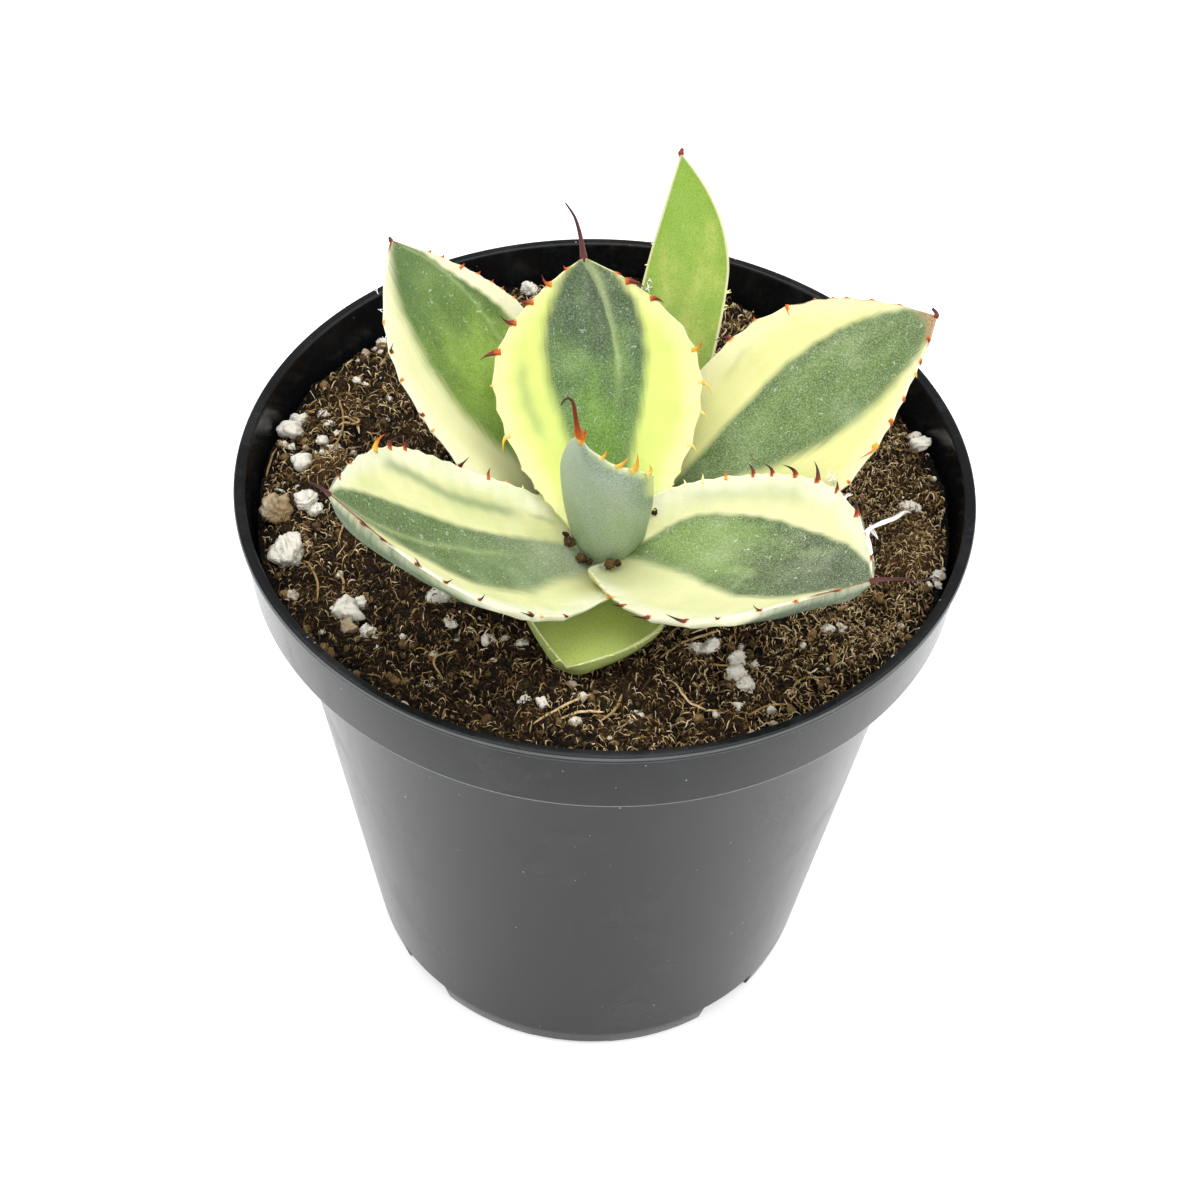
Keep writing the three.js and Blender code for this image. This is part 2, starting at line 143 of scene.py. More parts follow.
def joined(parts):
    # several (points, quads, triangles, numbers of each point ...) as one
    starts = np.cumsum([0] + [len(part[0]) for part in parts])
    moved = [(part[0], part[1] + start, part[2] + start, *part[3:])
             for part, start in zip(parts, starts)]
    return [np.concatenate(pieces) for pieces in zip(*moved)]


def lathe(radius, height, sides, ends):
    # rings (radius cos, radius sin, height), one for each row of the two columns, going up, and
    # the two heights on the axis that close them
    turn = np.arange(sides) * 2 * math.pi / sides
    rings = np.stack(np.broadcast_arrays(radius * np.cos(turn), radius * np.sin(turn), height), -1)
    points = np.concatenate([rings.reshape(-1, 3), [[0, 0, ends[0]], [0, 0, ends[1]]]])
    return (points, *capped(len(rings), sides))


def addPiece(name, shape, material, stands=(), values=None, uv=None):
    # one mesh from arrays of points, four-cornered and three-cornered faces, riding on the body
    points, quads, triangles = shape
    mesh = bpy.data.meshes.new(name)
    mesh.vertices.add(len(points))
    mesh.vertices.foreach_set("co", (points * mm).astype(np.float32).ravel())
    corners = np.concatenate([quads.ravel(), triangles.ravel()]).astype(np.int32)
    mesh.loops.add(len(corners))
    mesh.loops.foreach_set("vertex_index", corners)
    starts = np.concatenate([
        np.arange(len(quads)) * 4, len(quads) * 4 + np.arange(len(triangles)) * 3])
    mesh.polygons.add(len(starts))
    mesh.polygons.foreach_set("loop_start", starts.astype(np.int32))
    mesh.polygons.foreach_set("use_smooth", np.ones(len(starts), bool))
    for key, numbers in (values or {}).items():
        layer = mesh.attributes.new(key, "FLOAT", "POINT")
        layer.data.foreach_set("value", np.asarray(numbers, np.float32).ravel())
    if uv is not None:
        layer = mesh.uv_layers.new(name="UVMap")
        layer.data.foreach_set("uv", uv[corners].astype(np.float32).ravel())
    mesh.update(calc_edges=True)
    mesh.validate()
    mesh.materials.append(material)
    piece = bpy.data.objects.new(name, mesh)
    bpy.context.scene.collection.objects.link(piece)
    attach(piece, body)
    if stands:
        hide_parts(*stands)
    return piece


def tubes(paths, radii, hint, sides):
    # a tube along each path (count, rings, 3): ring points at radius first * cos + second * sin,
    # in the two directions square to the path; with them, each point's share of the way along and
    # the number of its path
    count, rings = paths.shape[:2]
    tangent = unit(np.gradient(paths, axis=1))
    first = unit(np.cross(np.broadcast_to(hint, tangent.shape), tangent))
    second = np.cross(tangent, first)
    angle = np.arange(sides) * 2 * math.pi / sides
    wide = radii[..., 0][:, :, None, None] * first[:, :, None] * np.cos(angle)[:, None]
    high = radii[..., 1][:, :, None, None] * second[:, :, None] * np.sin(angle)[:, None]
    ringPoints = (paths[:, :, None] + wide + high).reshape(count, rings * sides, 3)
    points = np.concatenate([ringPoints, paths[:, :1], paths[:, -1:]], 1)
    along = np.concatenate([np.repeat(np.linspace(0, 1, rings), sides), [0, 1]])
    return (*repeated(points, *capped(rings, sides)),
            np.tile(along, count), np.repeat(np.arange(count), points.shape[1]))


def ballShape(rows, columns):
    # unit sphere as rings of points between two poles, with its faces turned outwards
    tilt = np.linspace(0, math.pi, rows + 1)[1:-1, None]
    turn = (np.arange(columns) * 2 * math.pi / columns)[None]
    ring = np.stack(np.broadcast_arrays(
        np.sin(tilt) * np.cos(turn), np.sin(tilt) * np.sin(turn), np.cos(tilt)), -1)
    points = np.concatenate([ring.reshape(-1, 3), [[0, 0, 1], [0, 0, -1]]])
    quads = gridQuads(rows - 1, columns, True)
    top, bottom = len(points) - 2, len(points) - 1
    lastRing = (rows - 2) * columns + np.arange(columns)
    triangles = np.concatenate([fan(top, np.arange(columns)), fan(bottom, lastRing, True)])
    return points, quads, triangles


# shader maths: an expression on sockets adds its nodes

class Wire:
    # one socket of a node tree; the operators on it add Math nodes
    def __init__(self, shader, socket):
        self.shader, self.socket = shader, socket

    def maths(self, operation, *inputs):
        return self.shader.node("ShaderNodeMath", {"operation": operation}, dict(enumerate(inputs)))

    def __add__(self, other):
        return self.maths("ADD", self, other)

    def __sub__(self, other):
        return self.maths("SUBTRACT", self, other)

    def __rsub__(self, other):
        return self.maths("SUBTRACT", other, self)

    def __mul__(self, other):
        return self.maths("MULTIPLY", self, other)

    def __truediv__(self, other):
        return self.maths("DIVIDE", self, other)

    def __pow__(self, other):
        return self.maths("POWER", self, other)

    __radd__ = __add__
    __rmul__ = __mul__

    def most(self, other):
        return self.maths("MAXIMUM", self, other)

    def least(self, other):
        return self.maths("MINIMUM", self, other)

    def off(self, middle):
        return self.maths("ABSOLUTE", self - middle)

    def step(self, low, high):
        # smooth step from 0 at low to 1 at high
        return self.shader.node(
            "ShaderNodeMapRange", {"interpolation_type": "SMOOTHSTEP"},
            {"Value": self, "From Min": low, "From Max": high})


class Shader:
    # a material being built from its sockets; light scales the colours, given as screen numbers
    def __init__(self, name, light=1.0):
        self.light = light
        self.material = bpy.data.materials.new(name)
        self.material.use_nodes = True
        self.tree = self.material.node_tree
        self.tree.nodes.clear()

    def node(self, kind, settings=None, inputs=None, output=0):
        made = self.tree.nodes.new(kind)
        for key, value in (settings or {}).items():
            setattr(made, key, value)
        for key, value in (inputs or {}).items():
            if isinstance(value, Wire):
                self.tree.links.new(value.socket, made.inputs[key])
            elif isinstance(value, tuple) and made.inputs[key].type == "RGBA":
                made.inputs[key].default_value = (*tint(value, self.light), 1)
            else:
                made.inputs[key].default_value = value
        return Wire(self, made.outputs[output]) if len(made.outputs) else made

    def place(self, stretch=(1, 1, 1), output="Object"):
        # object or UV coordinates, stretched; one unit is a metre
        where = self.node("ShaderNodeTexCoord", output=output)
        return self.node("ShaderNodeMapping", inputs={"Vector": where, "Scale": stretch})

    def noise(self, vector, cell, detail=2.0, rough=0.5):
        # noise from 0 to 1 with lumps about one cell (millimetres) wide
        return self.node("ShaderNodeTexNoise", inputs={
            "Vector": vector, "Scale": 1 / (cell * mm), "Detail": detail, "Roughness": rough})

    def cells(self, vector, cell):
        # distance from the nearest of points about one cell apart, in cells
        return self.node(
            "ShaderNodeTexVoronoi", inputs={"Vector": vector, "Scale": 1 / (cell * mm)})

    def value(self, name):
        return self.node("ShaderNodeAttribute", {"attribute_name": name}, output=2)

    def coats(self, colour, *coats):
        # the colour, with each (share, colour) laid over what lies below it
        for share, over in coats:
            colour = self.node(
                "ShaderNodeMix", {"data_type": "RGBA"}, {0: share, 6: colour, 7: over}, 2)
        return colour

    def bump(self, height, depth, strength):
        return self.node("ShaderNodeBump", inputs={
            "Height": height, "Distance": depth * mm, "Strength": strength})

    def finish(self, colour, roughness, inputs):
        surface = self.node("ShaderNodeBsdfPrincipled", inputs={
            "Base Color": colour, "Roughness": roughness, **inputs})
        self.node("ShaderNodeOutputMaterial", inputs={"Surface": surface})
        return self.material


def tint(colour, light):
    # screen colour, 0 to 255, to the linear one that nodes take
    share = np.array(colour) / 255
    linear = np.where(share <= 0.04045, share / 12.92, ((share + 0.055) / 1.055) ** 2.4)
    return tuple(float(v) for v in np.minimum(linear * light, 0.97))


leafLight = 0.74     # makes a colour look as given where this light falls on a leaf


# radii from the axis and heights from the foot; the first slot's angle is from the right
pot = {
    "footRadius": 34.7, "chamferRadius": 35.7, "chamferHeight": 3.6, "wall": 1.2,
    "bodyTop": 48, "bandLow": 52.4, "bandHigh": 53.4, "rim": 54, "lipWidth": 1.7,
    "height": 95.5, "bandHeight": 12.3, "floorLow": 2.2, "floorHigh": 3.6,
    "segments": 288, "firstSlot": -137.5, "slotWidth": 10.6, "slotHeight": 3.9,
    "slotReach": 9, "notchWidth": 12.4, "notchHeight": 0.45, "drainRadius": 3, "drainRing": 19,
    "drainFrom": 1.0, "drainTo": 5.0, "stretch": 19, "stretchRings": 24, "sharp": 38,
}
ledge = pot["height"] - pot["bandHeight"]


def roundedLine(corners, steps=5):
    # each corner (radius, height, rounding) becomes a quadratic curve that starts and ends
    # its rounding away from the corner along the two sides
    line = []
    for index, (radius, height, rounding) in enumerate(corners):
        here = np.array([radius, height], float)
        if rounding == 0:
            line.append(here)
            continue
        before = unit(np.array(corners[index - 1][:2]) - here) * rounding
        after = unit(np.array(corners[index + 1][:2]) - here) * rounding
        bend = np.array([here + before, here, here + after])
        line.extend(bezier(bend, np.linspace(0, 1, steps)))
    return np.array(line)


def potMaterial():
    # near black + faint cloudy marks + stain rings where noise is near 0.5 + darker water blots in
    # a few areas + pale dust where small cells are near their centres, and painted highlights,
    # paler grey on the lip's outer corner and the band's lower one by height and distance from the
    # axis;
    # roughness from the marks
    shader = Shader("pot_plastic")
    at = shader.place()
    radius = shader.node(
        "ShaderNodeVectorMath", {"operation": "LENGTH"}, {0: shader.place((1, 1, 0))}, 1) / mm
    height = shader.node("ShaderNodeSeparateXYZ", inputs={0: at}, output=2) / mm
    clouds, grain = shader.noise(at, 14, 4, 0.6), shader.noise(at, 0.3, 2)
    streaks = shader.noise(shader.place((1, 1, 0.12)), 2.2, 3, 0.6)
    stain = shader.noise(at, 7, 3, 0.6).off(0.5).step(0.02, 0.004) * clouds.step(0.48, 0.6)
    dust = shader.cells(at, 2.3).step(0.08, 0.03) * shader.noise(at, 5, 1).step(0.48, 0.62)
    marks = clouds.step(0.5, 0.7) * 0.5 + streaks.step(0.5, 0.75) * 0.3 + stain * 0.35
    blots = shader.noise(at, 2.8, 2).step(0.56, 0.62) * shader.noise(at, 15, 1).step(0.5, 0.58)
    top = pot["height"]
    # lip: a painted highlight along the lip's outer rounded corner
    lip = height.step(top - 0.6, top - 0.4) * height.step(top - 0.05, top - 0.2)
    lip = lip * radius.step(53.7, 53.9) * 0.5
    # band: a painted highlight along the band's lower rounded corner
    band = height.step(ledge + 0.55, ledge + 0.3) * height.step(ledge - 0.1, ledge + 0.15)
    band = band * radius.step(51.6, 52.1) * 0.75
    colour = shader.coats(
        (15, 16, 18), (marks, (36, 37, 39)), (blots * 0.75, (9, 10, 11)),
        (dust * 0.8, (170, 170, 168)), ((lip + band) * (clouds + 0.5).least(1.0), (118, 121, 121)))
    return shader.finish(colour, 0.18 + marks * 0.1 + grain * 0.07, {
        "Normal": shader.bump(grain, 0.03, 0.4), "Specular IOR Level": 0.165})


def cutBy(piece, cutter):
    # takes the cutter away from the piece
    change = piece.modifiers.new("cut", "BOOLEAN")
    change.operation, change.solver, change.object = "DIFFERENCE", "EXACT", cutter
    graph = bpy.context.evaluated_depsgraph_get()
    piece.data = bpy.data.meshes.new_from_object(piece.evaluated_get(graph))
    piece.modifiers.clear()
    bpy.data.objects.remove(cutter)


def boxPoints(length, width, height, distance, angle):
    # box from -height to height, turned round the axis, its outer face at distance
    x, y, z = (part.ravel() for part in np.meshgrid(
        [distance - length, distance], [-width / 2, width / 2], [-height, height], indexing="ij"))
    cosine, sine = math.cos(math.radians(angle)), math.sin(math.radians(angle))
    return np.stack([x * cosine - y * sine, x * sine + y * cosine, z], -1)


def potCutter():
    # four deep slots and four shallow notches round the foot, and five drain holes
    reach, foot, boxes = pot["slotReach"], pot["footRadius"], []
    for angle in pot["firstSlot"] + np.arange(4) * 90:
        boxes.append(boxPoints(reach, pot["slotWidth"], pot["slotHeight"], foot + 2.5, angle))
        boxes.append(boxPoints(
            reach, pot["notchWidth"], pot["notchHeight"], foot + reach / 2, angle + 45))
    faces = np.array([
        [0, 1, 3, 2], [4, 6, 7, 5], [0, 4, 5, 1], [2, 3, 7, 6], [0, 2, 6, 4], [1, 5, 7, 3]])
    turn = np.radians(pot["firstSlot"] + 45 + np.arange(4) * 90)
    middles = pot["drainRing"] * np.stack([np.cos(turn), np.sin(turn), turn * 0], -1)
    low, high = pot["drainFrom"], pot["drainTo"]
    hole, quads, triangles = lathe(
        np.full((2, 1), pot["drainRadius"]), np.array([[low], [high]]), 32, (low, high))
    holes = hole + np.concatenate([[[0, 0, 0]], middles])[:, None]
    points, quads, triangles = joined([
        repeated(np.array(boxes), faces, np.zeros((0, 3), int)), repeated(holes, quads, triangles)])
    mesh = bpy.data.meshes.new("cutter")
    mesh.from_pydata(points * mm, [], quads.tolist() + triangles.tolist())
    cutter = bpy.data.objects.new("cutter", mesh)
    bpy.context.scene.collection.objects.link(cutter)
    return cutter


def buildPot():
    # a rounded profile of (radius, height) turned round the axis: point = radius * (cos, sin),
    # height; the long inner wall, which starts at the profile's point "stretch", has extra rings
    p, wall, top = pot, pot["wall"], pot["height"]
    line = roundedLine([
        (p["footRadius"] - wall, p["floorLow"], 0), (p["footRadius"] - wall, 0, 0.25),
        (p["footRadius"], 0, 0.35), (p["chamferRadius"], p["chamferHeight"], 0.5),
        (p["bodyTop"], ledge, 0.7), (p["bandLow"], ledge, 0.45),
        (p["bandHigh"], top - 1.5, 0.3), (p["rim"], top - 1.0, 0.3), (p["rim"], top, 0.55),
        (p["rim"] - p["lipWidth"], top, 0.5), (p["bandHigh"] - wall, top - 1.8, 0.4),
        (p["bandLow"] - wall, ledge + wall, 0.4), (p["bodyTop"] - wall, ledge + wall, 0.6),
        (p["chamferRadius"] - wall + 0.1, p["floorHigh"], 0),
    ])
    start = p["stretch"]
    extra = np.linspace(line[start], line[start + 1], p["stretchRings"] + 2)[1:-1]
    line = np.concatenate([line[:start + 1], extra, line[start + 1:]])
    shape = lathe(line[:, :1], line[:, 1:], p["segments"], (p["floorLow"], p["floorHigh"]))
    piece = addPiece("nursery_pot", shape, potMaterial(), ["pot"])
    cutBy(piece, potCutter())
    piece.data.set_sharp_from_angle(angle=math.radians(p["sharp"]))


buildPot()
print("stage: pot")


crown = {"x": 1, "y": -12.5, "top": 107}
soil = {
    "edge": 50.85, "level": 88.3, "bottom": 4.2, "cells": 292,
    "clods": [(6.4, 1.2, 3), (2.7, 1.15, 4), (1.25, 0.6, 5)],
    "grit": [(0.75, 0.24, 6), (0.42, 0.14, 7)],
    # x, y, reach and height of the two lumps that stand out
    "mounds": [(44.0, -7.5, 5.6, 2.2), (-40.4, 3.4, 4.2, 1.6)],
}


def soilLevel(x, y):
    # soft lumps of three sizes and a hollow round the crown, as the solid has
    lumps = (0.7 * np.sin(x / 7 + 1) * np.cos(y / 9) + 0.45 * np.sin((x + y) / 4.1)
             + 0.35 * np.cos((x - 1.7 * y) / 3.3))
    away = np.hypot(x - crown["x"], y - crown["y"] - 1)
    return soil["level"] + 0.012 * y + lumps - 1.1 * np.exp(-((away / 11) ** 2))


def soilHeight(x, y):
    # the level, plus two mounds exp(-(distance / reach)^4), round clods of three sizes and two
    # grains of value noise, lower at the wall
    height = soilLevel(x, y) - 0.7 - 0.9 * smooth(np.hypot(x, y), 46.5, 50.5)
    for moundX, moundY, reach, tall in soil["mounds"]:
        height = height + tall * np.exp(-(np.hypot(x - moundX, y - moundY) / reach) ** 4)
    for cell, tall, seed in soil["clods"]:
        height = height + tall * clods(x + 200, y + 200, cell, seed)
    for cell, tall, seed in soil["grit"]:
        height = height + tall * waves(x, y, cell, seed)
    return height


def soilMaterial():
    # near black, painted shade in the hollows and between the fibres, to brown on the clods by how
    # high the point stands and two noises, tan grit on them, more of it the higher the point
    # stands, painted light, and moss green in a few patches; very rough, bumped by fine noise
    shader = Shader("soil")
    at, raised = shader.place(), shader.value("raised")
    coarse, fine = shader.noise(at, 2.6, 4, 0.65), shader.noise(at, 0.45, 4, 0.75)
    colour = shader.coats(
        (5, 3, 2), ((raised * 0.7 + fine * 1.5 + coarse * 0.4 - 1.3).step(0.0, 0.9), (80, 58, 34)),
        (shader.noise(at, 0.5, 3).step(0.58, 0.7) * 0.8 * raised, (128, 100, 62)),
        (shader.noise(at, 8, 2).step(0.6, 0.72) * fine * 0.5, (44, 50, 20)))
    normal = shader.bump(fine + shader.noise(at, 0.22, 2) * 0.5, 0.7, 1.0)
    return shader.finish(colour, 0.95, {"Normal": normal, "Specular IOR Level": 0.2})


def buildSoil():
    # a square grid bent to the disc by x' = x sqrt(1 - y^2 / 2), y' = y sqrt(1 - x^2 / 2), raised
    # to the soil's height, with a skirt down the pot's wall and a flat bottom
    count, edgeRadius = soil["cells"] + 1, soil["edge"]
    line = np.linspace(-1, 1, count)
    gridX, gridY = np.meshgrid(line, line, indexing="ij")
    x = edgeRadius * gridX * np.sqrt(1 - gridY ** 2 / 2)
    y = edgeRadius * gridY * np.sqrt(1 - gridX ** 2 / 2)
    height = soilHeight(x, y)
    top = np.stack([x, y, height], -1).reshape(-1, 3)
    index = np.arange(count * count).reshape(count, count)
    rim = np.concatenate([index[:-1, 0], index[-1, :-1], index[:0:-1, -1], index[0, :0:-1]])
    around = top[rim, :2] / np.linalg.norm(top[rim, :2], axis=1, keepdims=True)
    skirt = [(edgeRadius, ledge + 1.6), (46.4, ledge + 1.6), (34.2, soil["bottom"])]
    rings = [np.concatenate([around * wide, np.full((len(rim), 1), low)], 1) for wide, low in skirt]
    points = np.concatenate([top, *rings, [[0, 0, soil["bottom"]]]])
    loops = [rim] + [len(top) + ring * len(rim) + np.arange(len(rim)) for ring in range(3)]
    sides = [np.stack([a, b, np.roll(b, -1), np.roll(a, -1)], -1) for a, b in zip(loops, loops[1:])]
    faces = np.concatenate([gridQuads(count, count), *sides]), fan(len(points) - 1, loops[-1], True)
    raised = np.zeros(len(points))
    # raised: how high the point stands over the level; the soil material paints low points darker,
    # painted shade
    raised[:len(top)] = (0.45 + 0.4 * (height - soilLevel(x, y))).ravel()
    addPiece("potting_soil", (points, *faces), soilMaterial(), ["soil"], {"raised": raised})


buildSoil()
print("stage: soil")


# the fibres, crumbs and small grains that lie on the soil
litter = {
    # name, how many, lengths, half widths, curl, lift
    "piles": [
        ("soil_fibres", 6500, (0.9, 3.2), (0.05, 0.13), 0.35, 1.0),
        ("soil_fine_fibres", 6500, (0.5, 2.2), (0.04, 0.08), 0.4, 1.2),
        ("soil_curls", 6500, (0.4, 1.4), (0.06, 0.13), 0.4, 0.9),
        ("soil_moss", 6500, (0.4, 1.3), (0.05, 0.09), 0.5, 0.7),
    ],
    "crumbs": 5400, "bits": 420, "strands": 40, "behind": 18,
}


def scattered(random, count, edge):
    # points spread evenly over the soil's disc
    radius = edge * np.sqrt(random.uniform(0, 1, count))
    angle = random.uniform(0, 2 * math.pi, count)
    return radius * np.cos(angle), radius * np.sin(angle)


def curlyPaths(random, places, rings, lengths, curls, lift, swings=0.7, kink=0.0):
    # each path's heading = start + curl * u + swing * sin(2 pi u) + a random kink at each ring,
    # stepped along its length; its height is the soil's plus an arch sin(pi u) and a random tilt
    x, y = places
    count = len(x)
    length = random.uniform(*lengths, count)
    start = random.uniform(0, 2 * math.pi, count)
    curl, swing = random.normal(0, curls, count), random.normal(0, swings, count)
    u = np.linspace(0, 1, rings)
    heading = start[:, None] + curl[:, None] * u + swing[:, None] * np.sin(2 * math.pi * u)
    heading = heading + random.normal(0, 1, (count, rings)) * kink
    pathX = x[:, None] + np.cumsum(np.cos(heading), 1) / rings * length[:, None]
    pathY = y[:, None] + np.cumsum(np.sin(heading), 1) / rings * length[:, None]
    pathX = pathX - (pathX.mean(1) - x)[:, None]
    pathY = pathY - (pathY.mean(1) - y)[:, None]
    shrink = np.minimum(1, (soil["edge"] - 0.5) / np.hypot(pathX, pathY))
    pathX, pathY = pathX * shrink, pathY * shrink
    ground = soilHeight(pathX, pathY)
    ground = 0.5 * ground + 0.5 * ground.mean(1, keepdims=True)
    arch = random.uniform(0, 1, count)[:, None] ** 1.5 * lift * np.sin(math.pi * u)
    tilt = random.normal(0, 0.2, count)[:, None] * length[:, None] * (u - 0.5)
    return np.stack([pathX, pathY, ground + arch + tilt + 0.2], -1)


def fibreMaterial():
    # dark brown to tan by each fibre's own number, darker and lighter along it by noise, the
    # palest ones straw
    shader = Shader("fibre")
    # the tone carries painted light and shade: paler the higher a fibre lies
    mixed = shader.value("tone") + (shader.noise(shader.place(), 0.6, 2) - 0.5) * 0.45
    colour = shader.coats(
        (18, 11, 6), (mixed.step(0.1, 0.5), (90, 66, 36)), (mixed.step(0.42, 0.8), (164, 134, 86)),
        (mixed.step(0.78, 1.1), (230, 206, 160)))
    return shader.finish(colour, 0.8, {"Specular IOR Level": 0.25})


def addTubes(name, paths, half, flat, sides, material, tones):
    # tubes of half width "half" and height half * flat, thinner at both ends by the square root of
    # 1 - (2u - 1)^4
    u = np.linspace(0, 1, paths.shape[1])
    taper = np.sqrt(np.maximum(1 - (2 * u - 1) ** 4, 0.04))
    radii = np.stack([half, half * flat], -1)[:, None, :] * taper[None, :, None]
    *shape, along, which = tubes(paths, radii, np.array([0.13, 0.09, 1.0]), sides)
    addPiece(name, shape, material, (), {"tone": tones[which], "along": along})


# from (x, y) to (x, y), and how far it bows to the side
straws = [
    (-41.1, 18.6, -41.6, 5.8, 0.12), (-44.2, 33.6, -40.7, 28.1, 0), (-40.4, 15, -37.3, 11.7, 0.2),
    (-42.5, -14.5, -40.1, -21.9, 0.1), (-8.3, -43.6, -0.7, -37.5, 0.03),
    (12.8, -26.3, 24.4, -21.5, 0.04), (20.9, -40.2, 26.9, -37.5, 0.1),
    (8.7, -30.3, 17.1, -24.5, 0.08), (-50.3, 2.2, -49.3, 8.3, 0.05), (-48.2, 3.2, -47, 6.9, 0.1),
    (-37.8, -15.5, -36.7, -20.3, 0.1), (0.7, -41.5, 3.6, -36.4, -0.1), (37.5, -5.6, 40.5, -2.9, 0),
    (-4.8, -42, 1.2, -40.2, 0.1),
]


def buildFibres():
    # piles of short curly fibres, three-sided, paler the higher they lie and darker the lower,
    # painted light and shade, in patches by value noise, paler towards the front right and darker
    # towards the front left, where the darker tone is painted shade; the mossy pile keeps to the
    # right of the rosette; then long straws at measured places and at random ones
    material = fibreMaterial()
    random = np.random.default_rng(31)
    for name, count, lengths, wide, curls, lift in litter["piles"]:
        places = scattered(random, count, soil["edge"] - 0.6)
        if name == "soil_moss":
            turn, away = random.normal(0.0, 0.5, count), random.uniform(24, soil["edge"] - 2, count)
            places = away * np.cos(turn), away * np.sin(turn)
        paths = curlyPaths(random, places, 5, lengths, curls, lift, 0.25, 0.35)
        half, flat = random.uniform(*wide, count), random.uniform(0.45, 1, count)
        x, y, z = paths.mean(1).T
        # paler towards the front right, darker towards the front left, painted shade there
        frontShift = np.clip((x - 14) / 12, -0.65, 1) * smooth(-y, 5, 20)
        # higher fibres paler and lower ones darker: painted light and shade
        tones = random.beta(0.8, 1.2, count) + 0.28 * np.clip(z - soilLevel(x, y), -1.4, 1.0)
        tones = tones + 0.19 * frontShift + 0.2 * waves(x, y, 4.6, 9) - 0.02
        addTubes(name, paths, half, flat, 3, material, tones)
    count, rings = litter["strands"], 22
    paths = curlyPaths(random, scattered(random, count, soil["edge"] - 4), rings, (6, 15), 1.0, 1.0)
    x0, y0, x1, y1, bow = np.array(straws).T[..., None]
    u = np.linspace(0, 1, rings)
    arch = bow * np.sin(math.pi * u)
    x, y = x0 + (x1 - x0) * u - arch * (y1 - y0), y0 + (y1 - y0) * u + arch * (x1 - x0)
    shrink = np.minimum(1, (soil["edge"] - 0.6) / np.hypot(x, y))
    x, y = x * shrink, y * shrink
    level = soilHeight(x, y)
    level = 0.25 * level + 0.75 * level.max(1, keepdims=True) + 0.15
    paths = np.concatenate([paths, np.stack([x, y, level], -1)])
    half = random.uniform(0.13, 0.24, len(paths))
    addTubes("soil_straws", paths, half, 0.75, 6, material, random.uniform(0.55, 0.95, len(paths)))


def perliteMaterial():
    # off-white, browner by each grain's own number on one side of it, darker on its lower side and
    # in its pits, painted shade
    shader = Shader("perlite")
    at = shader.place()
    tone, raised = shader.value("tone"), shader.value("raised")
    pits, patch = shader.noise(at, 0.45, 4, 0.7), shader.noise(at, 2.4, 2)
    # holes: small dark pits, painted shade
    holes = shader.cells(at, 0.6).step(0.24, 0.12) * shader.noise(at, 1.2, 1).step(0.52, 0.62)
    # darker on the lower side and where the pits noise is low, painted shade, and browner by the
    # grain's number
    stain = ((0.95 - raised) * 0.8 + (0.5 - pits) * 1.3 + tone * 0.6).step(0.3, 1.05)
    brown = (patch + tone * 0.45).step(0.66, 0.95) * tone.step(0.02, 0.6)
    colour = shader.coats(
        (232, 227, 214), (stain, (124, 108, 82)), (brown * 0.7, (168, 140, 96)),
        (holes * 0.6, (96, 84, 66)))
    return shader.finish(colour, 0.9, {
        "Normal": shader.bump(pits - holes * 0.5, 0.5, 0.8), "Specular IOR Level": 0.3})


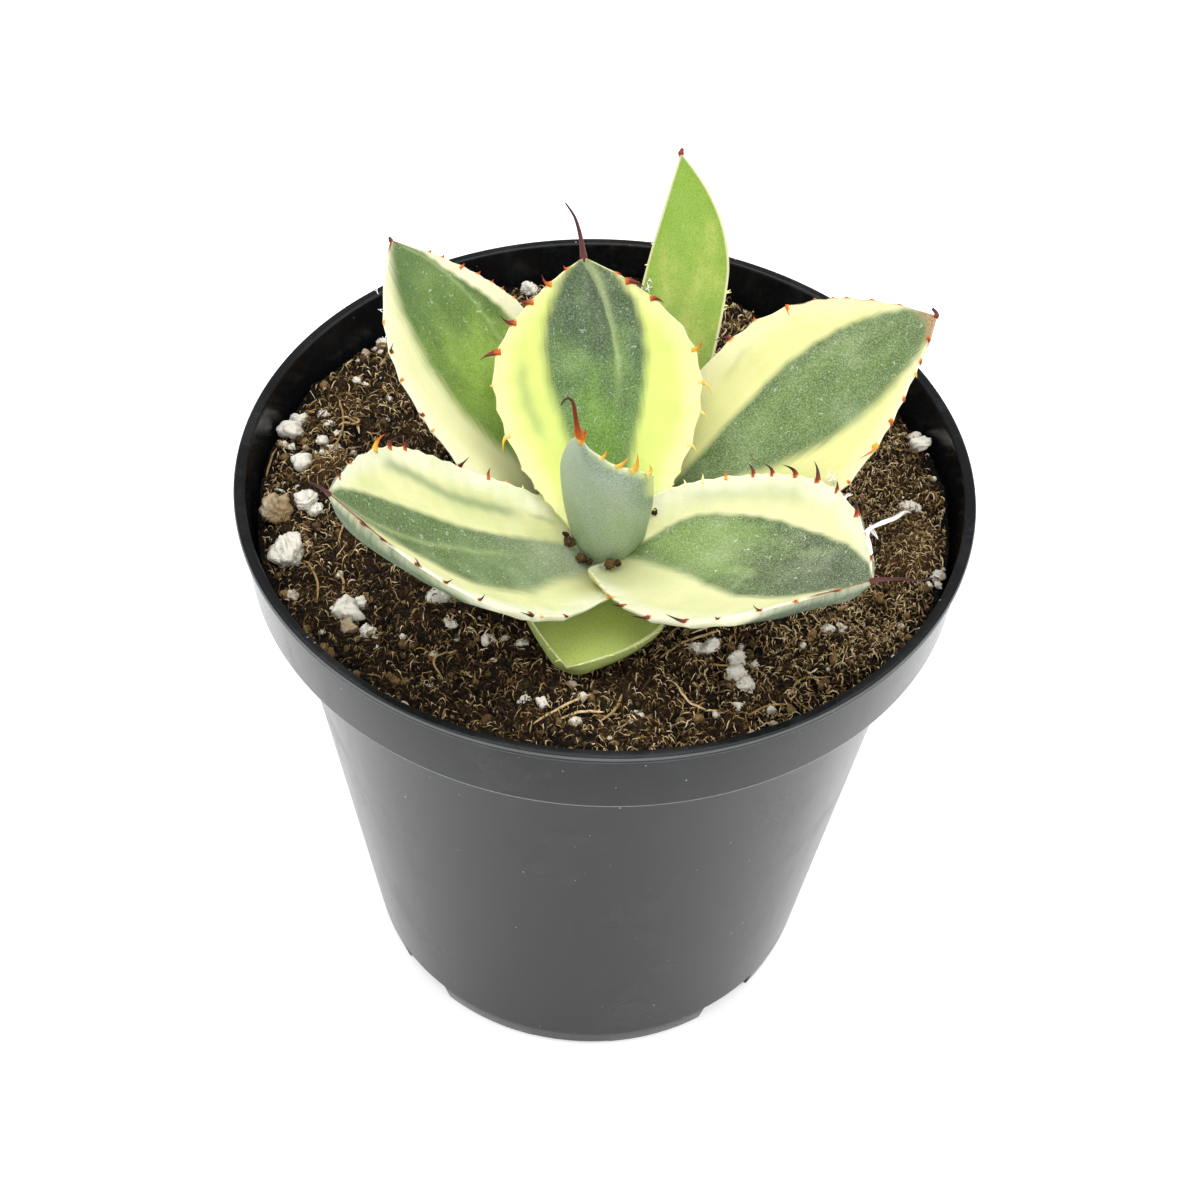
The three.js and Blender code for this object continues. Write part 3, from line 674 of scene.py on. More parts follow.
# x, y, size and how brown each large grain is
grains = [
    (-47.1, 15.6, 2.6, 0.05), (-48, 12.7, 3.7, 0.05), (-43.1, 16.7, 2.3, 0.05),
    (-42, 14.3, 1.8, 0.1), (-40.6, 12.3, 1.5, 0.35), (-42.9, 10.6, 2.1, 0.05),
    (-40.9, 9.4, 2, 0.1), (-42.3, 7.8, 1.8, 0.1), (-47.3, 8.8, 1.4, 0.1), (-48.6, 9.5, 1.2, 0.5),
    (-45, 4.7, 3.3, 0.15), (-37.5, 23.8, 1.4, 0.25), (-33.7, 21.5, 1.1, 0.5),
    (-39, 32.8, 1.6, 0.6), (-36.8, 34.9, 1.7, 0.1), (-36.1, 32.5, 1.1, 0.4),
    (-35.6, 26.2, 1.2, 0.6), (-38, 17.2, 0.9, 0.2), (-33.7, 15.5, 0.9, 0.4),
    (-45.1, 9, 1.1, 0.6), (-31.3, 11.3, 1.1, 0.5), (-13.4, 47, 2.9, 0), (46.8, 18.2, 1.2, 0.1),
    (48.6, 15.6, 2.8, 0.1), (49.8, 18.8, 1.8, 0.35), (42.8, 14.6, 0.6, 0.2),
    (38.5, 8.1, 0.8, 0.3), (39.7, 9.2, 0.6, 0.4), (45.2, 1.6, 2.7, 0.15), (48.7, -11.6, 2, 0.5),
    (50.2, -10, 0.9, 0.4), (49.1, -13.1, 1.2, 0.4), (-48, -0.6, 1.3, 0.1),
    (-45.1, -0.2, 1.2, 0.15), (-48.3, -5.2, 4.9, 1), (-43.7, -3.5, 3, 0.2),
    (-41.9, -4.3, 1.9, 0.1), (-45.6, -13.1, 5.8, 0.25), (-36, -23.2, 3.8, 0.15),
    (-35.4, -19.2, 1.7, 0.15), (-33.9, -21.4, 2.1, 0.15), (-36.9, -24.2, 1.8, 0.15),
    (-32.6, -26.4, 2.4, 0.05), (-43.8, -20, 1.9, 0.6), (-35.5, -25.9, 2.5, 0.9),
    (-27.2, -21.7, 1.3, 0.05), (-22.6, -20.3, 3.4, 0.25), (-19.7, -21.8, 1.1, 0.1),
    (-19.1, -23.5, 1.3, 0.1), (-18.8, -25, 1.1, 0.1), (-18, -21, 2.1, 0.1),
    (-21, -25.8, 1.6, 0.1), (-27.4, -27.6, 1.1, 0.2), (-16.5, -26.3, 1.7, 0.4),
    (-15.1, -28.5, 1.7, 0.05), (-10.8, -28.8, 2.2, 0.5), (-22.7, -36.6, 1.4, 0.15),
    (-17.4, -36.8, 0.8, 0.05), (-17.2, -39.5, 0.7, 0.05), (-9.8, -39, 1.7, 0.1),
    (-9.9, -40.7, 1.3, 0.1), (-7.4, -39.6, 1.9, 0.15), (-3.4, -37, 1.1, 0.1),
    (5.5, -38.7, 1.4, 0.5), (7.7, -40.2, 1.4, 0.5), (-12.5, -42.9, 0.8, 0.05),
    (10.2, -32.9, 0.8, 0.05), (32.3, -22.9, 1.7, 0.05), (34.3, -22, 1.7, 0.05),
    (13.6, -27.7, 2.2, 0.35), (15.8, -27.2, 2.3, 0.1), (19.5, -29.4, 2.9, 0.2),
    (19.9, -32.9, 3.1, 0.05), (20.9, -34.8, 2.5, 0.05), (18.4, -32.4, 1.4, 0.05),
    (20.1, -26.7, 1, 0.3), (22, -29.8, 1.5, 0.25), (23.4, -32.2, 1.1, 0.3),
    (27.6, -30.8, 1.5, 0.15), (28.9, -31.4, 1.3, 0.15), (32.5, -26.5, 0.8, 0.05),
    (41.1, -22.7, 0.6, 0.1), (38.9, -25.5, 0.6, 0.1), (19.5, -38.3, 1.7, 0.1),
    (24, -38.3, 1.9, 0.4), (25.6, -38.6, 0.7, 0.4), (29.7, -25.9, 0.7, 0.3),
    (7.6, -28, 1.3, 0.7),
]


def addLumps(random, name, material, centres, size, tones, rows, columns, bulge, keep=(0.62, 0.95)):
    # unit balls made uneven: swell = 1 + bulge * (sum of sines of the direction, with random
    # phases), joined with random planes at keep of the radius by (a^-7 + b^-7)^(-1/7), plus finer
    # sines, then scaled, turned and placed; tones are numbers, or the range to draw them from
    ball, quads, triangles = ballShape(rows, columns)
    count = len(centres)
    phase = random.uniform(0, 6.28, (count, 1, 8))
    fineness = np.array([1.4, 1.8, 2.6, 3.6, 5, 7, 10, 13])[:, None]
    pull = random.normal(0, 1, (count, 8, 3)) * fineness
    wave = np.sin(np.einsum("pk,cjk->cpj", ball, pull) + phase)
    swell = 1 + bulge * (wave[..., :4] * np.array([0.9, 0.8, 0.6, 0.45])).sum(-1)
    planes = unit(random.normal(0, 1, (count, 6, 3)))
    reach = np.maximum(np.einsum("pk,cjk->cpj", ball, planes), 1e-3)
    limit = (random.uniform(*keep, (count, 1, 6)) / reach).min(-1)
    radius = (swell ** -7 + limit ** -7) ** (-1 / 7)
    radius = radius + bulge * (wave[..., 4:] * np.array([0.4, 0.36, 0.34, 0.28])).sum(-1)
    scale = size[:, None] / 2 * np.array([1, 1, 0.85]) * random.uniform(0.8, 1.15, (count, 3))
    x, y, z = np.moveaxis(ball[None] * radius[..., None] * scale[:, None], -1, 0)
    turn = random.uniform(0, 6.28, count)[:, None]
    cosine, sine = np.cos(turn), np.sin(turn)
    turned = np.stack([x * cosine - y * sine, x * sine + y * cosine, z], -1)
    # raised: how high each point stands in its lump; the perlite and crumb materials turn it into
    # painted shade below and painted light on top
    raised = 0.5 + 0.5 * z / (size[:, None] / 2)
    if isinstance(tones, tuple):
        tones = random.uniform(*tones, count)
    addPiece(name, repeated(turned + centres[:, None], quads, triangles), material, (),
             {"tone": np.repeat(tones, len(ball)), "raised": raised.ravel()})


def onSoil(x, y, lift):
    # points that stand lift over the level of the soil
    return np.stack([x, y, soilLevel(x, y) + lift], -1)


def buildPerlite():
    # the large grains at their measured places, small bits all over, and grains of no measured
    # place behind the rosette
    material, random = perliteMaterial(), np.random.default_rng(47)
    x, y, size, brown = np.array(grains).T
    inside = np.minimum(1, (soil["edge"] - size / 2) / np.hypot(x, y))
    centres = onSoil(x * inside, y * inside, size * 0.34)
    addLumps(random, "perlite_grains", material, centres, size * 1.12, brown, 26, 38, 0.17,
             (0.55, 0.95))
    count = litter["bits"]
    x, y = scattered(random, count, soil["edge"] - 1)
    size = 0.35 + 1.5 * random.uniform(0, 1, count) ** 3
    addLumps(random, "perlite_bits", material, onSoil(x, y, size * 0.3 + 0.3), size, (0, 0.8), 5, 7,
             0.08)
    count = litter["behind"]
    turn, away = random.uniform(1.05, 1.8, count), random.uniform(22, 46, count)
    size = 1.0 + 2.8 * random.uniform(0, 1, count) ** 2
    centres = onSoil(away * np.cos(turn), away * np.sin(turn), size * 0.34)
    addLumps(random, "perlite_behind", material, centres, size, (0, 0.5), 20, 30, 0.17,
             (0.55, 0.95))


def crumbMaterial():
    # brown clods: dark to mid brown by each crumb's number and a fine noise, and paler on top,
    # painted light; rough
    shader = Shader("crumb")
    fine = shader.noise(shader.place(), 0.35, 4, 0.7)
    # raised makes the top of each crumb paler: painted light
    light = (shader.value("tone") * 0.7 + fine * 0.9 + shader.value("raised") * 0.3).step(0.5, 1.5)
    return shader.finish(shader.coats((16, 10, 6), (light, (150, 120, 78))), 0.95, {
        "Normal": shader.bump(fine, 0.6, 0.9), "Specular IOR Level": 0.2})


# x, y, z, size and tone of the crumbs in the rosette and the bark chips on the soil
chips = [
    (-5.4, -12.6, 95.3, 1.3, 0.2), (-4.9, -13.8, 94.8, 1.8, 0.3), (-2.9, -15.6, 93.6, 2.3, 0.4),
    (-1.8, -16.0, 93.4, 1.2, 0.2), (1.0, -16.9, 94.0, 2.1, 0.4), (2.2, -16.7, 94.1, 1.2, 0.2),
    (7.2, -10.0, 97.9, 1.3, 0.1), (6.4, -9.8, 97.2, 0.9, 0.1), (33, -29.7, 90.0, 2.2, 0.8),
    (31.1, -34.3, 89.7, 1.4, 0.7), (20.9, -3.4, 102.9, 0.8, 1.0), (21.2, -4.2, 102.7, 0.6, 1.1),
    (20.6, -2.8, 103.2, 0.5, 1.0), (-40.5, 3.6, 90.4, 2.0, 0.8), (-39.0, 4.8, 90.2, 1.7, 0.6),
    (-41.9, 2.4, 90.2, 1.6, 0.7), (-38.6, 2.7, 90.0, 1.4, 0.8), (-40.1, 5.3, 90.2, 1.2, 0.9),
]


def buildCrumbs():
    # small crumbs all over the soil, and the chips at their measured places
    material, random = crumbMaterial(), np.random.default_rng(53)
    count = litter["crumbs"]
    x, y = scattered(random, count, soil["edge"] - 1.2)
    size = 0.3 + 1.8 * random.uniform(0, 1, count) ** 3
    addLumps(random, "soil_crumbs", material, onSoil(x, y, size * 0.1 + 0.25), size, (0, 1), 4, 6,
             0.13)
    x, y, z, size, tone = np.array(chips).T
    addLumps(random, "loose_chips", material, np.stack([x, y, z], -1), size, tone, 16, 24, 0.22,
             (0.4, 0.85))


buildFibres()
buildPerlite()
buildCrumbs()
print("stage: fibres, perlite and crumbs")


edge = 0.36         # thickness of a blade at its margin
toothRoot = 0.7     # how far a tooth starts inside the margin
spineRoot = 1.6     # how much of a spine is buried in the tip

# what the leaves share; colours are as they show on the screen under this light, 0 to 255
usual = {
    "wrap": 40, "swell": 2, "offset": 0, "roll": 0, "twist": 0, "curl": 0, "bend": 0,
    "baseFlesh": 3, "tipFlesh": 1.5, "inside": False, "teeth": ((), ()), "spine": None,
    "bumps": ((), ()), "scallop": 0.45, "rows": 210, "columns": 72, "crease": 0.0,
    # where the blade starts behind its base, how the flesh swells from the margin and at the tip
    "root": -0.1, "soften": 0, "roundness": 0.8, "blunt": 0.35, "flare": 0.35,
    # colour zones: where the green centre starts and ends across the blade at places along it
    "left": ((0, 0.5), (1, 0.5)), "right": ((0, -0.5), (1, -0.5)), "blur": (0.5, 0.9),
    "underGreen": ((0, 0.86), (1, 0.86)), "streak": None, "ghosts": (), "brown": (),
    "hairs": (0, 0), "green": (104, 124, 88), "fresh": (112, 146, 70),
    "margin": (240, 248, 140), "outer": (252, 252, 190),
    "rim": (254, 254, 214), "bloom": 0.3, "baseFrost": 0.0, "freshShare": 0.5,
    "freshFall": 0.3, "rimWidth": 0.15, "rust": 0.8, "rimShare": 0.6, "frost": (194, 204, 172),
    # underShade: how much darker the underside is painted, painted shade
    "speckle": 3.4, "flecks": 1.0, "underShade": 0.4, "greening": 0.2, "toothWidth": 1.0,
    "scorch": (126, 62, 34),
}

# a tooth is (place along the leaf, how far out, how far ahead, how far up, 0 pale to 1 red)
leaves = [
    {
        **usual, "name": "bud_leaf", "azimuth": 236, "bend": -14.5, "rise": 78, "length": 28.2,
        "halfWidth": (9.6, 7.4), "widest": (0.64, 0.45), "baseShare": 0.77, "swell": 2.1,
        "taper": (0.45, 2), "cup": (61, 65), "wrap": 5, "roll": 29.5, "twist": -12.5,
        "reach": 3.2, "offset": 0.8, "baseHeight": 94, "inside": True, "baseFlesh": 1.8,
        "teeth": (((0.61, 0.3, 1.6, 0.3, 0.15), (0.67, 0.9, 2.9, 0.2, 0.22),
                   (0.72, 1.7, 0.4, 0.2, 0.24), (0.81, 0.6, 1.3, 0, 0.2),
                   (0.96, 0.9, 2.0, 0.3, 0.45)), ()),
        "spine": ((0, 0, 0), (3, 0.1, 0), (6.3, 0.3, 0), (7.6, 0.2, 0.1), (7.4, -0.6, 0.2),
                  (6.1, -1.6, 0.2), (4.9, -2.1, 0.2)),
        "spineRadius": 0.46, "spineTone": 0.8, "scallop": 0.3,
        "left": ((0, 2), (0.3, 1.2), (0.45, 0.84), (0.64, 0.68), (0.8, 0.78), (1, 1.3)),
        "right": ((0, -2), (1, -2)), "blur": (0.9, 0.4), "root": -0.14, "soften": 0.055,
        "green": (178, 194, 178), "fresh": (156, 184, 124),
        "margin": (206, 226, 146), "outer": (222, 236, 166),
        "rim": (230, 238, 200), "bloom": 0.55, "freshShare": 0.4, "freshFall": 0.6,
        "rimWidth": 0.26, "flare": 0.5, "rust": 0.3, "frost": (206, 217, 206), "speckle": 1.4,
        "flecks": 0.3, "underShade": 0.0, "toothWidth": 1.6,
    },
    {
        **usual, "name": "leaf_back_middle", "azimuth": 101, "rise": 49.5, "length": 38.5,
        "halfWidth": (15.1, 15.5), "widest": (0.58, 0.52), "baseShare": 0.4, "swell": 1.85,
        "taper": (1.9, 2.15), "cup": (28, 28.5), "roll": -1, "reach": 3, "offset": 0.2,
        "baseHeight": 94.2, "crease": 0.3,
        "teeth": (
            ((0.07, 0.4, 0.3, 0, -0.4), (0.12, 0.4, 0.3, 0, -0.4), (0.17, 0.4, 0.4, 0, -0.3),
             (0.24, 0.4, 0.6, 0, -0.2), (0.37, 0.6, -2.2, 0, 0.15), (0.56, 0.4, 0, 0, 0.1),
             (0.68, 2.8, -0.9, 0.1, 0.75), (0.78, 1.9, 1.3, 0.2, 0.8), (0.85, 2.1, 0.5, 0.3, 0.75),
             (0.91, 0.9, 1.5, 0.2, 0.55), (0.96, 0.4, 0.6, 0.1, 0.5)),
            ((0.05, 0.4, 0.3, 0, -0.4), (0.1, 0.5, 0.3, 0, -0.3), (0.14, 0.4, 0.3, 0, -0.3),
             (0.18, 0.4, 0.8, 0, -0.2), (0.28, 0.5, -1.4, 0, 0.1),
             (0.4, 0.8, -1.2, 0, 0.1), (0.51, 1.2, -1.9, 0.1, 0.15), (0.63, 1.1, 1.3, 0.3, 0.35),
             (0.83, 1.3, -0.9, 0.1, 0.8), (0.9, 2.2, -1.4, 0.1, 0.85), (0.93, 0.5, -0.3, 0, 0.6))),
        "bumps": ((0.47,), (0.72,)),
        "spine": ((0, 0, 0), (1.5, 0.1, 0), (3.6, 0.3, 0), (5.8, 0.8, 0), (7.8, 2.0, 0)),
        "spineRadius": 0.4, "spineTone": 1.2, "flare": 0.3,
        "left": ((0, 0.2), (0.3, 0.3), (0.4, 0.37), (0.5, 0.42), (0.6, 0.45), (0.7, 0.5),
                 (0.8, 0.56), (0.9, 0.64), (0.96, 0.9), (1, 1.2)),
        "right": ((0, -0.3), (0.3, -0.37), (0.4, -0.42), (0.5, -0.46), (0.6, -0.51),
                  (0.7, -0.56), (0.8, -0.67), (0.9, -0.77), (0.97, -1.1), (1, -1.3)),
        "blur": (1.3, 1.0), "green": (60, 80, 52), "fresh": (120, 168, 46),
        # the streak's dark share is painted shade along the crease beside it
        "streak": {"path": ((0.42, -0.2), (0.6, -0.23), (0.85, -0.27), (1, -0.36)),
                   "wide": 0.45, "wider": 0.9, "from": 0.4, "share": 0.5, "dark": 0.45},
        "ghosts": ({"path": ((0.3, 0.58), (0.5, 0.68), (0.68, 0.7)), "wide": 1.1,
                    "from": 0.3, "to": 0.68, "share": 0.42},),
        "margin": (236, 248, 132), "outer": (254, 254, 178),
        "rim": (254, 254, 196), "bloom": 0.28, "freshFall": 1.2, "freshShare": 0.62,
        "greening": 0.12, "flecks": 0.6,
    },
    {
        **usual, "name": "leaf_front_right", "azimuth": -31.5, "bend": -7, "rise": 26.3,
        "curl": 5.7, "length": 44.5, "halfWidth": (16.2, 16.1), "widest": (0.47, 0.55),
        "baseShare": 0.54, "taper": (2.35, 1.95), "cup": (38, 29), "roll": 6, "twist": -4,
        "reach": 3.6, "offset": -1.1, "baseHeight": 93.2,
        "teeth": (
            ((0.06, 0.4, 0.2, 0, -0.4), (0.1, 0.4, 0.2, 0, -0.3), (0.14, 0.5, -0.4, 0, -0.2),
             (0.19, 0.8, 0, 0.1, -0.2), (0.26, 0.6, -0.4, 0.1, 0.4),
             (0.35, 1.3, -1.3, 0.3, 0.9), (0.42, 1.1, -1.8, 0.3, 0.95),
             (0.51, 1.1, -2.7, 0.4, 0.95), (0.6, 2.4, -1.2, 0.3, 1), (0.69, 1.1, -0.3, 0.2, 1),
             (0.81, 2, -1.6, 0.2, 1), (0.95, 0.6, 0.1, 0, 0.9)),
            ((0.02, 0.6, 0.2, 0, -0.2), (0.05, 0.7, 0.2, 0, 0), (0.09, 0.6, 0.3, 0, 0.1),
             (0.13, 0.6, 0.2, 0, 0.1),
             (0.18, 0.4, -0.8, 0.4, 0.35), (0.24, 0.6, -1.3, 0.2, 0.9),
             (0.38, 0.8, -2.4, 0.3, 0.95),
             (0.55, 0.6, -2.6, 1, 1), (0.67, 0.3, -0.1, 0.4, 0.95), (0.78, 0.4, -0.6, 0.8, 0.95),
             (0.86, 0.3, 0.7, 0.4, 0.5), (0.94, 0.4, -0.9, 0, 0.8))),
        "spine": ((0, 0, 0), (1.9, 0.5, 0), (4.2, 0.8, 0), (7.2, 0.6, 0), (9.5, 1.3, 0)),
        "spineRadius": 0.33, "spineTone": 1.2, "roundness": 0.46, "blunt": 0.42, "tipFlesh": 2.4,
        "root": -0.06, "greening": 0.18,
        "underGreen": ((0, 0.5), (0.6, 0.6), (0.75, 0.97), (1, 1.1)),
        "left": ((0, 0.3), (0.05, 0.42), (0.1, 0.54), (0.2, 0.64), (0.3, 0.62), (0.4, 0.6),
                 (0.5, 0.57), (0.6, 0.53), (0.7, 0.52), (0.8, 0.56), (0.9, 0.63), (1, 0.9)),
        "right": ((0, 0.1), (0.1, 0.0), (0.2, -0.08), (0.3, -0.15), (0.4, -0.25), (0.5, -0.33),
                  (0.6, -0.4), (0.7, -0.42), (0.8, -0.46), (0.9, -0.6), (0.97, -0.95), (1, -1.2)),
        "blur": (0.5, 1.0), "green": (58, 76, 50), "fresh": (142, 172, 88),
        "ghosts": ({"path": ((0.12, 0.84), (0.4, 0.82), (0.62, 0.82)), "wide": 1.3,
                    "from": 0.1, "to": 0.62, "share": 0.28},),
        "brown": ({"side": 1, "from": 0.88, "to": 1, "wide": 0.22},),
        "margin": (244, 242, 188), "outer": (254, 253, 222), "bloom": 0.44,
        "freshShare": 0.5, "freshFall": 1.5,
    },
    {
        **usual, "name": "leaf_front_left", "azimuth": 213, "bend": -5, "rise": 29.5, "curl": 21,
        "length": 51.4, "halfWidth": (15.5, 15.4), "widest": (0.55, 0.53), "baseShare": 0.5,
        "swell": 2.4, "taper": (2.15, 2.15), "cup": (24, 27.5), "roll": -4, "twist": -1,
        "reach": 4.2, "offset": 1.7, "baseHeight": 92,
        "teeth": (
            ((0.04, 0.3, 0.4, 0.1, -0.1), (0.07, 0.3, 0.5, 0.1, 0), (0.12, 0.4, 1.7, 0.4, 0.1),
             (0.31, 0.3, 1.1, 0.3, 0.95), (0.41, 0.2, 0.9, 0, 0.2),
             (0.45, 0.4, 3.0, 0.2, 1), (0.64, 0.3, 0, 1.1, 1), (0.74, 0.3, -0.5, 0.9, 1),
             (0.81, 0.3, 1.6, 0.8, 1), (0.89, 0.3, 1.2, 0.3, 0.95), (0.93, 0.2, 2, 0.5, 0.95)),
            ((0.08, 0.4, 0.2, 0, -0.4), (0.12, 0.4, 0.2, 0, -0.3), (0.17, 0.4, 0.2, 0, -0.2),
             (0.22, 0.4, 0.1, 0, 0.3), (0.28, 1.2, -0.6, 0.1, 0.7), (0.61, 1.5, -1.3, 0.4, 0.95),
             (0.68, 1.6, -1.7, 0.5, 0.95), (0.75, 2.5, -1.9, 0.4, 0.35), (0.88, 0.3, -0.5, 0, 0.8),
             (0.94, 0.4, -0.6, 0, 0.95))),
        "bumps": ((), (0.35, 0.42, 0.49, 0.55, 0.83)),
        "spine": ((0, 0, 0), (1.3, -0.3, 0), (2.7, -0.2, 0), (3.8, 0, 0)),
        "spineRadius": 0.3, "spineTone": 1.3, "roundness": 0.46, "blunt": 0.36, "tipFlesh": 2.5,
        "greening": 0.28,
        "underGreen": ((0, 0.5), (0.45, 0.6), (0.6, 0.96), (1, 1.1)),
        "left": ((0, 0.1), (0.1, 0.19), (0.2, 0.31), (0.3, 0.48), (0.4, 0.53), (0.5, 0.56),
                 (0.6, 0.52), (0.7, 0.44), (0.8, 0.38), (0.9, 0.4), (0.96, 0.7), (1, 1)),
        "right": ((0, -0.45), (0.1, -0.42), (0.2, -0.375), (0.3, -0.33), (0.5, -0.31),
                  (0.7, -0.35), (0.83, -0.4), (0.93, -0.5), (1, -0.75)),
        "blur": (1.6, 0.6), "green": (78, 98, 54), "fresh": (86, 126, 38),
        "streak": {"path": ((0.2, -0.14), (0.28, -0.1), (0.4, -0.04), (0.5, 0), (0.65, 0.1),
                            (0.85, 0.18)),
                   "wide": 0.45, "wider": 0.3, "from": 0.2, "share": 0.4},
        "ghosts": (
            {"path": ((0.1, -0.68), (0.25, -0.66), (0.45, -0.63), (0.73, -0.83)), "wide": 1.0,
             "from": 0.16, "to": 0.76, "share": 0.68},
            {"path": ((0.08, -0.72), (0.2, -0.7)), "wide": 0.35, "from": 0.05, "to": 0.2,
             "share": 0.7},),
        "brown": ({"side": 0, "from": 0.86, "to": 0.95, "wide": 0.2},),
        "margin": (244, 242, 184), "outer": (254, 253, 224), "bloom": 0.33,
        "baseFrost": 0.75, "freshShare": 0.55,
    },
    {
        **usual, "name": "leaf_back_right", "azimuth": 27, "bend": -4.7, "rise": 35, "curl": -0.5,
        "length": 53.7, "halfWidth": (16.2, 16.2), "widest": (0.55, 0.51), "baseShare": 0.49,
        "swell": 1.8, "taper": (2.2, 1.7), "cup": (29, 25), "roll": 5.5, "twist": 1.5,
        "reach": 4.6, "offset": -0.3, "baseHeight": 91.2,
        "teeth": (
            ((0.53, 1.1, -2.1, 0.1, 0.9), (0.61, 0.5, 0.2, 0.1, 0.4), (0.7, -1.6, -0.5, 0.9, 0.4),
             (0.77, 0.2, -0.2, 0.3, 0.4), (0.81, 0.2, -0.2, 0.2, 0.4), (0.84, 0.2, -0.3, 0.2, 0.5),
             (0.89, 0.2, -0.5, 0.2, 0.5), (0.94, 0.2, -0.4, 0.1, 0.6)),
            ((0.3, 0.5, -0.8, 0, 0.3), (0.42, 0.6, -0.9, 0, 0.4), (0.57, 0.3, 0.2, 0.4, 0.5),
             (0.68, 0.6, -2.7, 0.7, 0.35), (0.75, 1.2, -0.8, 0.2, 0.6),
             (0.81, 0.8, -0.4, 0.1, 0.55),
             (0.87, 0.9, -0.1, 0, 0.2), (0.9, 0.9, -0.5, 0.1, 0.6), (0.95, 0.7, -0.4, 0.1, 0.7))),
        "spine": ((0, 0, 0), (0.2, 0.3, 0), (0.2, 0.8, 0.1), (0.1, 1.3, 0.2)),
        "spineRadius": 0.3, "spineTone": 0.8, "scorch": (190, 158, 116),
        "left": ((0, 0.35), (0.2, 0.37), (0.3, 0.41), (0.4, 0.44), (0.5, 0.47), (0.6, 0.51),
                 (0.7, 0.55), (0.8, 0.6), (0.9, 0.69), (0.95, 0.85), (1, 1.2)),
        "right": ((0, 0.3), (0.2, 0.1), (0.3, -0.04), (0.4, -0.21), (0.5, -0.325), (0.6, -0.42),
                  (0.7, -0.5), (0.8, -0.6), (0.9, -0.72), (0.96, -0.95), (1, -1.2)),
        "blur": (0.7, 1.4), "green": (80, 102, 34), "fresh": (116, 150, 60),
        "ghosts": ({"path": ((0.42, 0.76), (0.6, 0.86)), "wide": 0.5, "from": 0.42, "to": 0.6,
                    "share": 0.25},),
        "brown": ({"side": 0, "from": 0.7, "to": 1, "wide": 0.2},
                  {"side": 0, "from": 0.965, "to": 1, "wide": 3.2},
                  {"side": 1, "from": 0.94, "to": 1, "wide": 2.3}),
        "margin": (238, 236, 160), "outer": (252, 246, 192), "bloom": 0.34,
        "greening": 0.12, "flecks": 0.6,
    },
    {
        **usual, "name": "leaf_back_left", "azimuth": 138, "bend": -3.5, "rise": 37, "curl": 2.4,
        "length": 51.5, "halfWidth": (14.1, 14), "widest": (0.58, 0.5), "baseShare": 0.5,
        "taper": (2.25, 2), "cup": (29, 26), "roll": 5, "twist": 3,
        "reach": 5, "offset": 0.4, "baseHeight": 90.2,
        "teeth": (
            ((0.26, 0.5, 0.1, 0.5, 0.5), (0.37, 0.4, 0.4, 2.4, 0.95), (0.49, 0.4, 0, 0.1, 0.3),
             (0.54, 0.5, 0.7, 0.1, 0.9), (0.65, 0.3, -0.3, 0, 0.45), (0.73, 0.3, 0.8, 1.3, 1),
             (0.81, 0.3, -0.6, 0, 0.35)),
            ((0.4, 0.6, -0.6, 0, 0.5), (0.5, 0.6, -0.6, 0, 0.6), (0.6, 0.5, -0.4, 0, 0.6),
             (0.69, 0.3, 0.2, 0, 0.5), (0.73, 0.4, 0.2, 0, 0.6), (0.76, 0.3, 0.3, 0, 0.6),
             (0.8, 0.5, 0.2, 0, 0.6), (0.84, 0.3, 0.4, 0, 0.6), (0.89, 0.3, 0.3, 0, 0.6),
             (0.92, 0.3, 0.3, 0, 0.7))),
        "spine": ((0, 0, 0), (0.3, 0, 0), (0.5, 0, 0.1)), "spineRadius": 0.26, "spineTone": 0.7,
        "left": ((0, 0.0), (0.3, 0.1), (0.35, 0.21), (0.4, 0.31), (0.5, 0.4), (0.6, 0.44),
                 (0.7, 0.47), (0.8, 0.52), (0.9, 0.58), (0.97, 0.75), (1, 1)),
        "right": ((0, -0.5), (0.4, -0.62), (0.6, -0.8), (0.7, -0.79), (0.8, -0.76), (0.9, -0.75),
                  (0.96, -0.95), (1, -1.2)),
        "blur": (1.6, 0.5), "green": (88, 120, 38), "fresh": (162, 198, 72),
        "streak": {"path": ((0.5, -0.46), (0.62, -0.53), (0.75, -0.6), (0.88, -0.69)), "wide": 0.25,
                   "wider": 0.25, "from": 0.4, "share": 0.34},
        "brown": ({"side": 0, "from": 0.97, "to": 1, "wide": 0.3},
                  {"side": 1, "from": 0.975, "to": 1, "wide": 0.9}),
        "margin": (242, 240, 184), "outer": (254, 250, 212), "bloom": 0.1,
        "freshShare": 0.76, "freshFall": 1.8, "flecks": 0.6, "greening": 0.05,
    },
    {
        **usual, "name": "leaf_plain_back", "azimuth": 65, "bend": 34, "rise": 37, "curl": -5.4,
        "length": 59.5, "halfWidth": (6.5, 6.8), "widest": (0.52, 0.69), "baseShare": 0.54,
        "swell": 1.2, "taper": (1.8, 1.85), "cup": (15, 16), "roll": -1.5, "baseFlesh": 2.6,
        "tipFlesh": 1.3, "reach": 5.2, "offset": 0.9, "baseHeight": 89.6, "columns": 48,
        "spine": ((0, 0, 0), (0.3, -0.1, 0), (0.7, -0.3, 0)), "spineRadius": 0.35, "spineTone": 0.6,
        "left": ((0, 2), (1, 2)), "right": ((0, -2), (1, -2)), "blur": (0.4, 0.4),
        "green": (200, 204, 102), "fresh": (130, 168, 24), "bloom": 0.08,
        "flecks": 0.15, "speckle": 2.4,
        "freshShare": 0.5, "freshFall": -1.0, "rim": (244, 230, 200), "rimWidth": 0.3,
        "hairs": (26, 0.7), "rust": 0.2,
    },
    {
        **usual, "name": "leaf_plain_front", "azimuth": 257, "bend": -3, "rise": 8, "length": 18.5,
        "halfWidth": (10.8, 10.7), "widest": (0.38, 0.38), "baseShare": 0.7, "taper": (1.9, 1.8),
